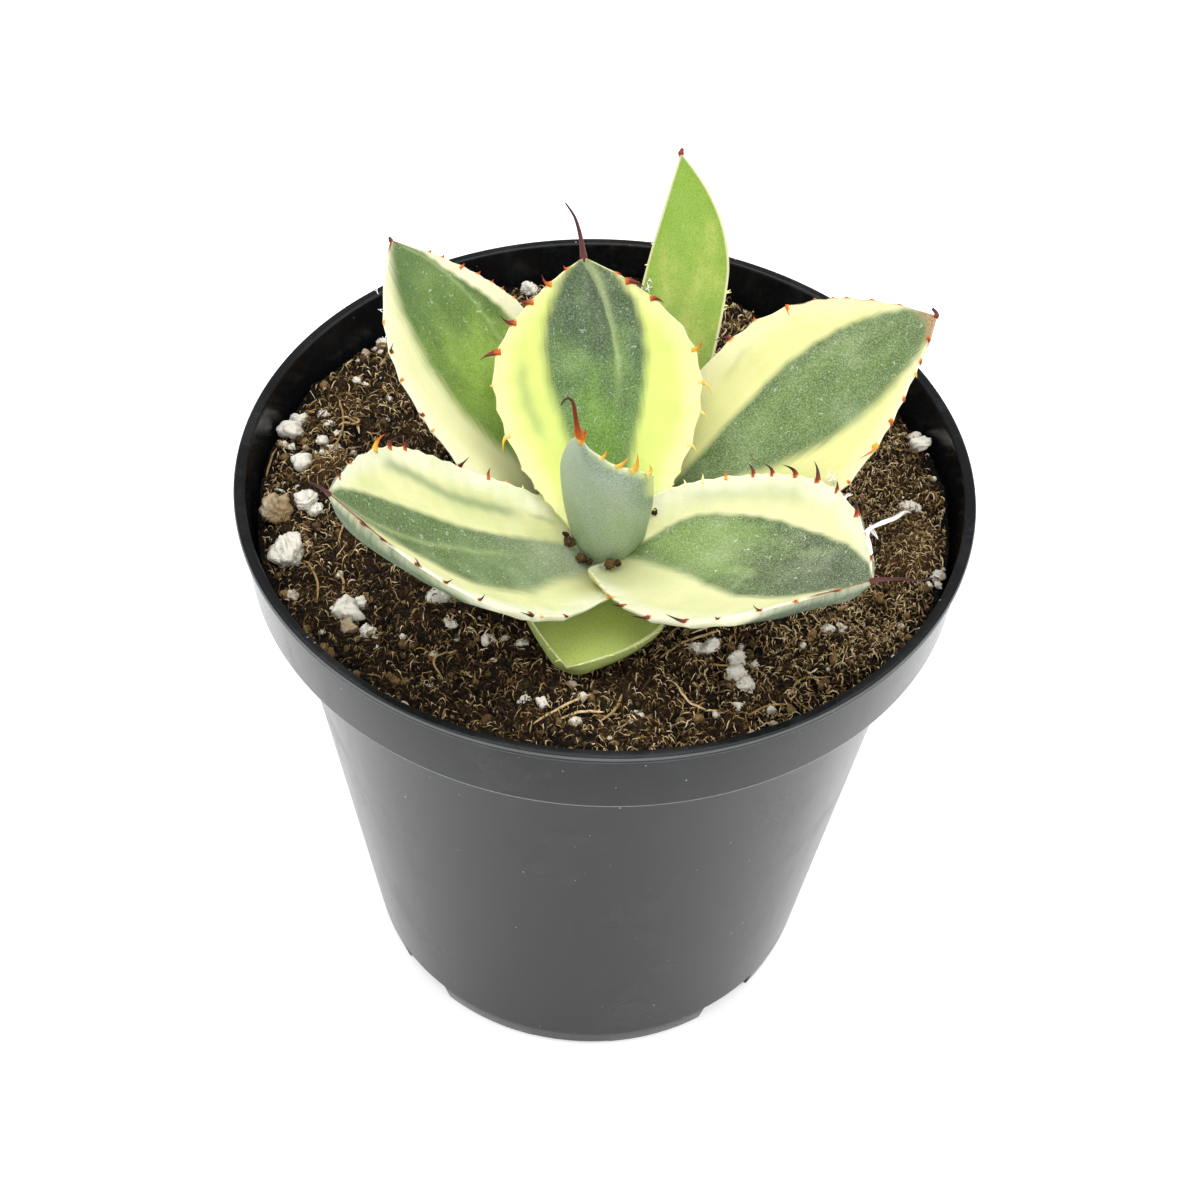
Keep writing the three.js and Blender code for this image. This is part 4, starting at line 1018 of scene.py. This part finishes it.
        "cup": (28.5, 30), "wrap": 30, "roll": -1.5, "baseFlesh": 2.6, "tipFlesh": 2.6,
        "reach": 5.4, "offset": 0.7, "baseHeight": 90.3, "rows": 120, "columns": 56,
        "left": ((0, 2), (1, 2)), "right": ((0, -2), (1, -2)), "blur": (0.4, 0.4),
        "green": (200, 216, 112), "fresh": (204, 226, 114), "bloom": 0.12,
        "flecks": 0.15, "speckle": 2.4,
        "freshShare": 0.5, "rim": (240, 236, 190), "rimWidth": 0.3, "hairs": (60, 0.55),
        "roundness": 0.42, "blunt": 0.8, "rust": 0.3,
    },
]


def softLine(places, table):
    # straight lines between the table's points, averaged over 0.07 of the leaf's length
    table = np.array(table).T
    return sum(np.interp(places + step, *table) for step in (-0.035, -0.018, 0, 0.018, 0.035)) / 5


def halfWidth(leaf, side, s):
    # W (1 - (1 - base)(1 - s / widest)^swell) up to the widest place, then W (1 - u^taper), both
    # averaged over the leaf's soften; behind the base it closes as sqrt(1 - v^2)
    share, total = leaf["widest"][side], 0
    for step in (-1, -0.5, 0, 0.5, 1):
        place = s + step * leaf["soften"]
        grown = 1 - (1 - leaf["baseShare"]) * np.maximum(1 - place / share, 0) ** leaf["swell"]
        closed = 1 - np.clip((place - share) / (1 - share), 0, 1) ** leaf["taper"][side]
        total = total + np.where(place < share, grown, closed) / 5
    return leaf["halfWidth"][side] * total * np.sqrt(1 - np.clip(s / leaf["root"], 0, 1) ** 2)


def directions(leaf, s):
    # rise, heading and roll change evenly with s; returns along, across and face at each s
    rise = np.radians(leaf["rise"] + leaf["curl"] * s)
    heading = np.radians(leaf["azimuth"] + leaf["bend"] * s)
    roll = np.radians(leaf["roll"] + leaf["twist"] * s)[..., None]
    forward = np.cos(rise)
    along = np.stack([forward * np.cos(heading), forward * np.sin(heading), np.sin(rise)], -1)
    level = np.stack([-np.sin(heading), np.cos(heading), np.zeros_like(heading)], -1)
    across = level * np.cos(roll) + np.cross(along, level) * np.sin(roll)
    return along, across, np.cross(along, across)


def midrib(leaf, s):
    # the base point on the crown plus 24 steps along the changing direction
    heading = math.radians(leaf["azimuth"])
    cosine, sine = math.cos(heading), math.sin(heading)
    start = np.array([
        crown["x"] + leaf["reach"] * cosine - leaf["offset"] * sine,
        crown["y"] + leaf["reach"] * sine + leaf["offset"] * cosine, leaf["baseHeight"]])
    steps = (np.arange(24) + 0.5) / 24
    along = directions(leaf, s[..., None] * steps)[0]
    return start + along.mean(-2) * (leaf["length"] * s)[..., None]


def scallops(leaf, side, s):
    # the margin swells under each tooth: height (1 - distance / reach)^1.6, less between them
    places = [tooth[0] for tooth in leaf["teeth"][side]] + list(leaf["bumps"][side])
    total = np.zeros_like(s)
    for place in places:
        away = np.abs(s - place) * leaf["length"]
        total = np.maximum(total, np.maximum(1 - away / 2.4, 0) ** 1.6)
    total = leaf["scallop"] * (total - 0.35 * bool(places))
    return total * smooth(s, 0.02, 0.1) * smooth(-s, -1, -0.93)


def cupAngle(leaf, s, first):
    # how far a blade's half is bent round, on its first or second side, more near the base
    cup = np.where(first, *leaf["cup"]) + leaf["wrap"] * np.clip(1 - s / 0.4, 0, 1) ** 2
    return np.radians(cup)


def bladePoint(leaf, s, t):
    # an arc across the blade: across W sin(cup t) / cup + face W (1 - cos(cup t)) / cup
    along, across, face = directions(leaf, s)
    cup = cupAngle(leaf, s, t > 0)
    wide = [halfWidth(leaf, side, s) + scallops(leaf, side, s) for side in (0, 1)]
    wide = np.maximum(np.where(t > 0, *wide), 0)
    turn, arc = (cup * t)[..., None], (wide / cup)[..., None]
    point = midrib(leaf, s) + across * arc * np.sin(turn) + face * arc * (1 - np.cos(turn))
    return point, face * np.cos(turn) - across * np.sin(turn), wide


def zoneShares(leaf, s, t, wide, upper, depth):
    # distances in millimetres and shares, 0 to 1, that the leaf's material turns into colour; the
    # distance from the margin counts the flesh's depth on the face that is pushed down by it
    under = softLine(s, leaf["underGreen"])
    left, right = softLine(s, leaf["left"]), softLine(s, leaf["right"])
    left = np.where(upper, left, np.maximum(left, under))
    right = np.where(upper, right, np.minimum(right, -under))
    streak, ghost, brown, stain = np.zeros((4, *s.shape))
    fromEdge = (1 - np.abs(t)) * wide + depth
    line = leaf["streak"]
    if line:
        away = (t - softLine(s, line["path"])) * wide
        width = line["wide"] + (line["wider"] - line["wide"]) * smooth(s, 0.75, 1)
        streak = np.exp(-(away / width) ** 2) * line["share"]
        # a dark line beside the streak: painted shade along the crease
        streak = streak - np.exp(-((away - width - 0.25) / 0.3) ** 2) * line.get("dark", 0)
        streak = streak * smooth(s, line["from"], line["from"] + 0.2) * upper
    for line in leaf["ghosts"]:
        start, end = line["from"], line["to"]
        away = (t - softLine(s, line["path"])) * wide
        share = np.exp(-(away / line["wide"]) ** 2) * line["share"]
        share = share * smooth(s, start, start + 0.1) * smooth(-s, -end, 0.1 - end)
        ghost = np.maximum(ghost, share * upper)
    for edging in leaf["brown"]:
        share = smooth(s, edging["from"] - 0.02, edging["from"] + 0.03)
        share = share * smooth(-fromEdge, -edging["wide"], -edging["wide"] / 2)
        brown = np.maximum(brown, share * ((t > 0) == (edging["side"] == 0)))
    for side, teeth in enumerate(leaf["teeth"]):
        for place, out, ahead, up, tone in teeth:
            near = np.hypot((s - place) * leaf["length"], fromEdge * 1.3)
            share = np.exp(-(near / (0.32 + 0.1 * math.hypot(out, ahead))) ** 2)
            share = share * (0.3 + 0.7 * tone)
            stain = np.maximum(stain, share * ((t > 0) == (side == 0)))
    return {"inLeft": (left - t) * wide / leaf["blur"][0],
            "inRight": (t - right) * wide / leaf["blur"][1], "streak": streak, "ghost": ghost,
            "stain": stain, "fromEdge": fromEdge, "brown": brown, "alongLeaf": s,
            "upper": np.full_like(s, upper)}


def leafMaterial(leaf):
    # green centre where both border distances, shaken a little by lengthwise noise, are above 0,
    # else the margin's yellow, creamier outwards; the green runs from fresh at the base to grey at
    # the tip, is covered with fine dark and frosty grains and is darker underneath, painted shade;
    # then streak with a dark line beside it, painted shade along the crease, ghost stripes, stains
    # round the teeth, pale rim, rusty tip, brown edge, white flecks and scratches are laid over
    shader = Shader(leaf["name"], leafLight)
    at = shader.place()
    fromEdge, along, upper, streak, stain, ghost, brown, left, right = (
        shader.value(name) for name in (
            "fromEdge", "alongLeaf", "upper", "streak", "stain", "ghost", "brown", "inLeft",
            "inRight"))
    veins = shader.noise(shader.place((1, 0.07, 1), "UV"), 0.5, 3, 0.6)
    wash = shader.noise(shader.place((1, 0.3, 1), "UV"), 3.5, 3, 0.55)
    grain, cloud = shader.noise(at, 0.24, 3, 0.8), shader.noise(at, 6, 3, 0.55)
    shake = (veins - 0.5) * 0.9 + (grain - 0.5) * 0.5
    inside = (left + shake).step(-1.0, 1.0) * (right + shake).step(-1.0, 1.0)
    fresh = wash * 0.8 + cloud * 0.8 + (0.5 - along) * leaf["freshFall"] + leaf["freshShare"] - 0.8
    frost = (grain - 0.46).most(0.0) * 7 + cloud.step(0.42, 0.7) * 0.45
    frost = frost * leaf["bloom"] + (1 - along) ** 4 * leaf["baseFrost"] * (grain * 1.6 + 0.2)
    frost = frost.least(0.85)
    green = shader.coats(
        leaf["green"], (fresh.step(0.1, 0.9), leaf["fresh"]),
        (left.least(right).step(4.5, 0.6) * 0.4, (72, 104, 52)),
        (((0.5 - grain).most(0.0) * leaf["speckle"]).least(0.7), (50, 78, 38)),
        # darker underneath by underShade: painted shade
        (frost, leaf["frost"]), ((1 - upper) * leaf["underShade"], (58, 76, 58)))
    pale = shader.coats(
        leaf["margin"], ((fromEdge + (wash - 0.5) * 3).step(4.5, 0.5), leaf["outer"]),
        ((veins - 0.45).most(0.0) * 0.5, (206, 222, 140)),
        ((wash * 0.6 + cloud * 0.6).step(0.45, 0.8) * leaf["greening"], (180, 204, 112)),
        ((grain - 0.5).most(0.0) * 1.8, (206, 216, 160)), (ghost, (122, 150, 108)))
    rim = fromEdge.step(leaf["rimWidth"] * 1.4, leaf["rimWidth"] * 0.5)
    rust = along.step(0.972, 0.993) * (fromEdge + (veins - 0.5) * 0.3).step(0.36, 0.1)
    dried = shader.coats(leaf["scorch"], (grain.step(0.5, 0.62), (96, 48, 26)))
    flecks = shader.cells(at, 1.1).step(0.12, 0.05) * shader.noise(at, 2.5, 1).step(0.46, 0.6)
    scratch = shader.noise(at, 1.6, 1).off(0.5).step(0.02, 0.008)
    scratch = scratch * shader.noise(at, 0.8, 1).step(0.58, 0.68) * 0.7
    white = ((flecks + scratch) * inside * upper).least(0.75) * leaf["flecks"]
    colour = shader.coats(
        pale, (inside, green), (streak.most(0.0), (200, 214, 150)),
        # where streak is below 0, the dark line beside it: painted shade along the crease
        ((streak * -1).most(0.0), (70, 92, 62)), (rim * leaf["rimShare"], leaf["rim"]),
        (stain.step(0.1, 0.5) * 0.85, (226, 150, 60)), (stain.step(0.4, 0.8) * 0.8, (140, 66, 30)),
        (rust * leaf["rust"], (150, 80, 46)),
        ((brown * (veins + 0.35).step(0.4, 0.8)).least(0.9), dried), (white, (228, 234, 224)))
    return shader.finish(colour, 0.48 + frost * 0.25, {
        "Normal": shader.bump(grain * 0.8 + veins * 0.25 + white * 0.6, 0.09, 0.55),
        "Specular IOR Level": 0.35, "Subsurface Weight": 0.12,
        "Subsurface Radius": (1.0, 1.0, 0.4), "Subsurface Scale": 0.0012})


def buildBlade(leaf):
    # rings round the blade: the upper face from margin to margin at t = sin(pi u / 2), then back
    # below at the flesh's thickness edge + (middle - edge)(1 - t^2)^roundness, both bent together
    # into a round margin of half the edge's thickness
    rows, columns, inside = leaf["rows"], leaf["columns"], leaf["inside"]
    place = 1 - (1 - np.linspace(0, 1, rows)) ** 1.35
    place = leaf["root"] + (0.997 - leaf["root"]) * place
    t = np.sin(np.linspace(-1, 1, columns) * math.pi / 2)
    s, t = np.meshgrid(place, t, indexing="ij")
    point, normal, wide = bladePoint(leaf, s, t)
    middle = leaf["tipFlesh"] + (leaf["baseFlesh"] - leaf["tipFlesh"]) * (1 - s) ** 1.3
    middle = np.minimum(middle, edge + wide * leaf["blunt"])
    roundness = leaf["roundness"] + (0.9 - leaf["roundness"]) * smooth(-s, -0.4, -0.15)
    flesh = np.minimum(edge, wide * 0.9 + 0.15)
    depth = flesh + (middle - flesh) * np.maximum(1 - t * t, 0) ** roundness
    rounding = np.maximum(flesh / 2, 0.05)
    closeness = np.clip(1 - (1 - np.abs(t)) * wide / rounding, 0, 1)
    tuck = rounding * (1 - np.sqrt(1 - closeness ** 2))
    dent = 0.16 * waves(t * wide + 90, s * leaf["length"], 5.5, len(leaf["name"])) * (1 - closeness)
    crease = leaf["crease"] * np.exp(-(t * wide / 0.9) ** 2)
    crease = crease * smooth(s, 0.45, 0.9) * smooth(-s, -1, -0.97)
    sign = 1 if inside else -1
    upper = point + normal * (sign * tuck + dent - crease)[..., None]
    lower = point + normal * (sign * (depth - tuck) + dent)[..., None]

    def around(top, bottom):
        # the rows of both faces as rings
        return np.concatenate([top, bottom[:, -2:0:-1]], 1)

    ring, tip = around(upper, lower), np.array([1.0])
    apex = midrib(leaf, tip) + directions(leaf, tip)[2] * sign * edge * 0.4
    points = np.concatenate([ring.reshape(-1, 3), ring[0].mean(0, keepdims=True), apex])
    turn = ring.shape[1]
    loop, total = np.arange(turn), rows * turn
    quads = gridQuads(rows, turn, True)
    triangles = np.concatenate([fan(total, loop), fan(total + 1, loop + total - turn, True)])
    if inside:
        quads, triangles = quads[:, ::-1], triangles[:, ::-1]
    above = zoneShares(leaf, s, t, wide, 1.0, depth * inside)
    below = zoneShares(leaf, s, t, wide, 0.0, depth * (not inside))
    values = {}
    for key in above:
        both = around(below[key], above[key]) if inside else around(above[key], below[key])
        values[key] = np.concatenate([both.ravel(), [both[0].mean(), both[-1].mean()]])
    flat = np.stack([t * wide * mm, s * leaf["length"] * mm], -1)
    flat = np.concatenate([around(flat, flat).reshape(-1, 2), [[0, 0], [0, leaf["length"] * mm]]])
    addPiece(leaf["name"] + "_blade", (points, quads, triangles), leafMaterial(leaf),
             [leaf["name"]], values, flat)


def thornMaterial():
    # pale yellow to orange to rust to dark brown along each thorn by its own number, and
    # purple-brown where that number is above 1.1; glossy
    shader = Shader("thorn", leafLight)
    tone, along = shader.value("tone"), shader.value("along")
    grain = shader.noise(shader.place(), 0.5, 2)
    warmth = along * tone.most(0.0) * 1.1 + tone * 0.6 + (grain - 0.5) * 0.3 - 0.25
    colour = shader.coats(
        (250, 246, 160), (warmth.step(-0.25, 0.0), (242, 180, 50)),
        (warmth.step(0.0, 0.3), (210, 98, 20)), (warmth.step(0.3, 0.6), (126, 36, 12)),
        (warmth.step(0.6, 1.0), (50, 16, 10)),
        (tone.step(1.05, 1.15), shader.coats((100, 42, 38), (along, (54, 22, 32)))))
    return shader.finish(colour, 0.32, {
        "Specular IOR Level": 0.3, "Subsurface Weight": 0.1,
        "Subsurface Radius": (1.0, 0.5, 0.2), "Subsurface Scale": 0.0006})


thornFinish = thornMaterial()


def middleSide(leaf):
    # where the middle of the margin lies from the blade's face, in thicknesses of the edge
    return 0.5 if leaf["inside"] else -0.5


def marginFrames(leaf, s, side):
    # point in the middle of the margin, with the directions out of it, along it and up
    t = np.where(side == 0, 1.0, -1.0)
    point, normal, wide = bladePoint(leaf, s, t)
    along, across, face = directions(leaf, s)
    cup = cupAngle(leaf, s, side == 0)[..., None]
    outward = across * np.cos(cup) * t[..., None] + face * np.sin(cup)
    return point + normal * middleSide(leaf) * edge, outward, along, normal


def threaded(corners, count):
    # the line through the corner points at even steps of its length, averaged over a window of
    # 0.16 of it that closes towards both ends
    lengths = np.cumsum(np.linalg.norm(np.diff(corners, axis=0, prepend=corners[:1]), axis=1))
    place = np.linspace(0, 1, count)[:, None]
    window = np.minimum(0.08, np.minimum(place, 1 - place)) * np.linspace(-1, 1, 9)
    lines = [np.interp((place + window) * lengths[-1], lengths, part) for part in corners.T]
    return np.stack(lines, -1).mean(1)


def buildThorns(leaf):
    # each tooth: a cubic curve out of the margin that bends to its own tip, on a wide flat root;
    # each hair: a thin quadratic curve; the spine: a curve through its corner points from inside
    # the tip, where spineRoot of it is buried
    u, grown, parts = np.linspace(0, 1, 12), [], []

    def grow(corners, wide, thick, tones, normal):
        curve = bezier(np.stack(corners, -2), u)
        hint = np.broadcast_to(normal[:, None], curve.shape)
        grown.append((curve, np.stack([wide, thick], -1), hint, tones))

    rows = [(*tooth, side) for side in (0, 1) for tooth in leaf["teeth"][side]]
    if rows:
        s, out, ahead, up, tones, side = np.array(rows).T
        root, outward, along, normal = marginFrames(leaf, s, side)
        out, ahead, up = out[:, None], ahead[:, None], up[:, None]
        reach = np.sqrt(out ** 2 + ahead ** 2 + up ** 2)
        straight = np.maximum(out, reach * 0.45) * 0.55
        bend = root + outward * straight + along * ahead * 0.12 + normal * up * 0.3
        tip = root + outward * out + along * ahead + normal * up
        wide = np.clip(0.28 + reach * 0.11, 0.32, 0.6) * (1 - u) ** 1.1 * leaf["toothWidth"]
        thick = np.clip(0.14 + reach * 0.07, 0.18, 0.34) * (1 - u) ** 0.8
        grow([root - outward * toothRoot, root, bend, tip], wide + 0.012, thick + 0.012,
             tones, normal)
    count, size = leaf["hairs"]
    if count:
        random = np.random.default_rng(count)
        s, side = random.uniform(0.25, 0.96, count), random.integers(0, 2, count)
        root, outward, along, normal = marginFrames(leaf, s, side)
        length = size * random.uniform(0.3, 1.2, count)[:, None]
        tip = root + outward * length * 0.9 + along * length * random.normal(0.2, 0.6, (count, 1))
        thin = np.full((count, 1), 0.1) * (1 - u) ** 0.7
        grow([root - outward * 0.25, root + outward * length * 0.5, tip], thin * 1.6 + 0.01,
             thin + 0.01, np.full(count, -0.9), normal)
    if grown:
        paths, radii, hints, tones = (np.concatenate(pieces) for pieces in zip(*grown))
        *shape, along, which = tubes(paths, radii, hints, 10)
        parts.append((*shape, along, tones[which]))
    if leaf["spine"]:
        along, across, face = (part[0] for part in directions(leaf, np.array([1.0])))
        start = midrib(leaf, np.array([1.0]))[0] + face * middleSide(leaf) * edge
        corners = start + np.array(leaf["spine"], float) @ np.array([along, across, face])
        buried = start - along * spineRoot + face * middleSide(leaf) * 0.9
        rings = 36
        curve = threaded(np.concatenate([[buried], corners]), rings)[None]
        length = np.linalg.norm(np.diff(leaf["spine"], axis=0), axis=1).sum()
        out = np.linspace(0, 1, rings) - spineRoot / (spineRoot + length)
        swollen = 1 + leaf["flare"] * np.exp(-(out / 0.1) ** 2)
        rising = 0.3 + 0.7 * smooth(out, out[0], 0)
        thick = leaf["spineRadius"] * rising * swollen * np.minimum(1, 1 - out) ** 0.85 + 0.02
        *shape, along, which = tubes(curve, np.stack([thick, thick * 0.8], -1)[None], face, 14)
        parts.append((*shape, along, np.full(len(along), leaf["spineTone"])))
    *shape, along, tones = joined(parts)
    addPiece(leaf["name"] + "_thorns", shape, thornFinish, (),
             {"along": along, "tone": tones})


# half width and corner points of white shreds that cling to two leaves and one grain
shreds = [
    (0.2, ((44.8, -0.5, 91), (43.1, -6.7, 97), (40.9, -13.8, 103), (37.8, -21.9, 110),
           (34.9, -28.8, 114.9))),
    (0.16, ((37.8, -21.9, 110), (34.9, -28.8, 114.9), (35.1, -30.4, 115), (35.4, -32.4, 114.8),
            (35.8, -33.2, 114))),
    (0.1, ((34.9, -28.8, 114.9), (35.3, -31, 114.9), (35.8, -34.3, 114.2))),
    (0.1, ((35.6, -27.3, 114.5), (36, -27.3, 113.5), (37, -26.1, 111))),
    (0.08, ((33.8, -17.3, 110.5), (32.8, -19.3, 112), (32.5, -20.7, 112), (32.8, -21.3, 111.5))),
]
# x, y, z, reach and count of the tufts of short white hairs
tufts = [
    (31.4, -13.2, 109.2, 1.2, 22), (31.1, -12.2, 109.0, 0.8, 10), (4.9, 22.3, 112.0, 1.1, 14),
    (5.2, 23.6, 112.6, 0.8, 8), (-33.4, 8.6, 121.2, 1.2, 4), (-32.7, 6.2, 119.5, 1.1, 4),
    (-32.0, 2.9, 116.9, 1.3, 4),
]


def buildLint():
    # three wavy copies of each shred, and short curves that leave each tuft's middle at random
    random = np.random.default_rng(61)
    shader = Shader("lint")
    shade = shader.noise(shader.place(), 0.8, 2).step(0.35, 0.65)
    material = shader.finish(shader.coats((250, 250, 248), (shade, (222, 220, 208))), 0.7, {})
    paths, half, copies, rings = [], [], 3, 20
    for wide, corners in shreds:
        for shift in random.normal(0, 0.16, (copies, len(corners), 3)):
            paths.append(threaded(np.array(corners, float) + shift, rings))
            half.append(wide)
    for *middle, reach, count in tufts:
        for hair in range(count):
            away = unit(random.normal(0, 1, (2, 3))) * reach * random.uniform(0.3, 1, (2, 1))
            bends = np.array([[0, 0, 0], away[0] * 0.5, away.sum(0) * 0.6])
            paths.append(bezier(middle + bends, np.linspace(0, 1, rings)))
            half.append(0.06)
    addTubes("lint", np.array(paths), np.array(half), 0.7, 5, material, np.ones(len(half)))


slots = {"bud_leaf": "bud_leaf", "leaf_plain_back": "plain_leaf", "leaf_plain_front": "plain_leaf"}
for leaf in leaves:
    leaf["slot"] = slots.get(leaf["name"], "variegated_leaf")
    buildBlade(leaf)
    buildThorns(leaf)
    print("stage:", leaf["name"])
buildLint()
print("stage: lint")


def stemMaterial():
    # pale yellow-green flesh, browner in patches
    shader = Shader("stem")
    at = shader.place()
    colour = shader.coats((150, 148, 96), (shader.noise(at, 2.0, 3, 0.6), (84, 82, 48)))
    return shader.finish(colour, 0.6, {"Normal": shader.bump(shader.noise(at, 0.4, 2), 0.15, 0.5)})


def buildCrown():
    # profile of (radius, height) turned round the crown's axis, its sides waved a little
    top, bottom, rings, sides = crown["top"], 58, 64, 40
    line = np.array([
        (0.9, bottom), (2.6, 74), (5, 84), (6.4, 87), (5, 88.5), (3, 90), (2, 93), (1.5, 97),
        (1, top - 5), (0.6, top - 0.5)])
    along = np.linspace(0, len(line) - 1, rings)
    radius, height = (np.interp(along, np.arange(len(line)), part)[:, None] for part in line.T)
    turn = np.arange(sides) * 2 * math.pi / sides
    radius = radius * (0.97 + 0.03 * np.sin(3 * turn + height / 2))
    points, *faces = lathe(radius, height, sides, (bottom, top))
    points = points + np.array([crown["x"], crown["y"], 0])
    addPiece("crown_stem", (points, *faces), stemMaterial(), ["crown"])


buildCrown()
print("stage: crown")


def buildFloor():
    # a pale square just under the pot's foot, with a little light of its own
    shader = Shader("floor")
    shade = shader.noise(shader.place(), 400, 2)
    colour = shader.coats((243, 243, 243), (shade, (246, 246, 246)))
    material = shader.finish(colour, 0.9, {
        "Emission Color": (255, 255, 255), "Emission Strength": 0.31})
    mesh, half = bpy.data.meshes.new("floor"), 4.0
    mesh.from_pydata(
        [(-half, -half, 0), (half, -half, 0), (half, half, 0), (-half, half, 0)], [],
        [(0, 1, 2, 3)])
    mesh.materials.append(material)
    floor = bpy.data.objects.new("floor", mesh)
    bpy.context.scene.collection.objects.link(floor)
    floor.location.z = float(cadBox[0][2]) - 0.0001


lights = [
    # name, position in metres, size, power in watts
    ("overhead", (0.0, 0.15, 1.3), 1.2, 16),
    ("left", (-1.1, -0.25, 0.7), 0.9, 7),
    ("right", (1.1, -0.15, 0.7), 0.9, 7),
    ("front", (0.0, -1.2, 0.75), 0.9, 7),
]


def buildLights():
    # an even pale world, and square lamps that face the middle of the plant
    world = bpy.data.worlds.new("studio")
    world.use_nodes = True
    backdrop = world.node_tree.nodes["Background"]
    backdrop.inputs["Color"].default_value = (1, 1, 1, 1)
    backdrop.inputs["Strength"].default_value = 0.55
    bpy.context.scene.world = world
    for name, position, size, power in lights:
        lamp = bpy.data.lights.new(name, "AREA")
        lamp.size, lamp.energy = size, power
        holder = bpy.data.objects.new(name, lamp)
        holder.location = position
        aim = np.array([0, 0, 0.06]) - np.array(position)
        tilt = math.atan2(math.hypot(aim[0], aim[1]), -aim[2])
        holder.rotation_euler = (tilt, 0, math.atan2(aim[1], aim[0]) - math.pi / 2)
        bpy.context.scene.collection.objects.link(holder)


view = {
    "place": (-0.026, -276.98, 363.97), "elevation": 46.85, "roll": 2.627, "lens": 79.314,
}


def buildCamera():
    # back, right and up axes from the elevation, turned by the roll
    rise, roll = math.radians(view["elevation"]), math.radians(view["roll"])
    back = Vector((0, -math.cos(rise), math.sin(rise)))
    side, upward = Vector((1, 0, 0)), Vector((0, math.sin(rise), math.cos(rise)))
    right = side * math.cos(roll) + upward * math.sin(roll)
    above = upward * math.cos(roll) - side * math.sin(roll)
    place = Vector(view["place"]) * mm
    data = bpy.data.cameras.new("camera")
    data.sensor_width, data.lens, data.clip_start, data.clip_end = 36, view["lens"], 0.01, 20
    camera = bpy.data.objects.new("camera", data)
    camera.matrix_world = Matrix((
        (right.x, above.x, back.x, place.x), (right.y, above.y, back.y, place.y),
        (right.z, above.z, back.z, place.z), (0, 0, 0, 1)))
    bpy.context.scene.collection.objects.link(camera)
    bpy.context.scene.camera = camera
    bpy.context.scene.view_settings.view_transform = "Standard"


buildFloor()
buildLights()
buildCamera()
print("stage: floor, light and camera")
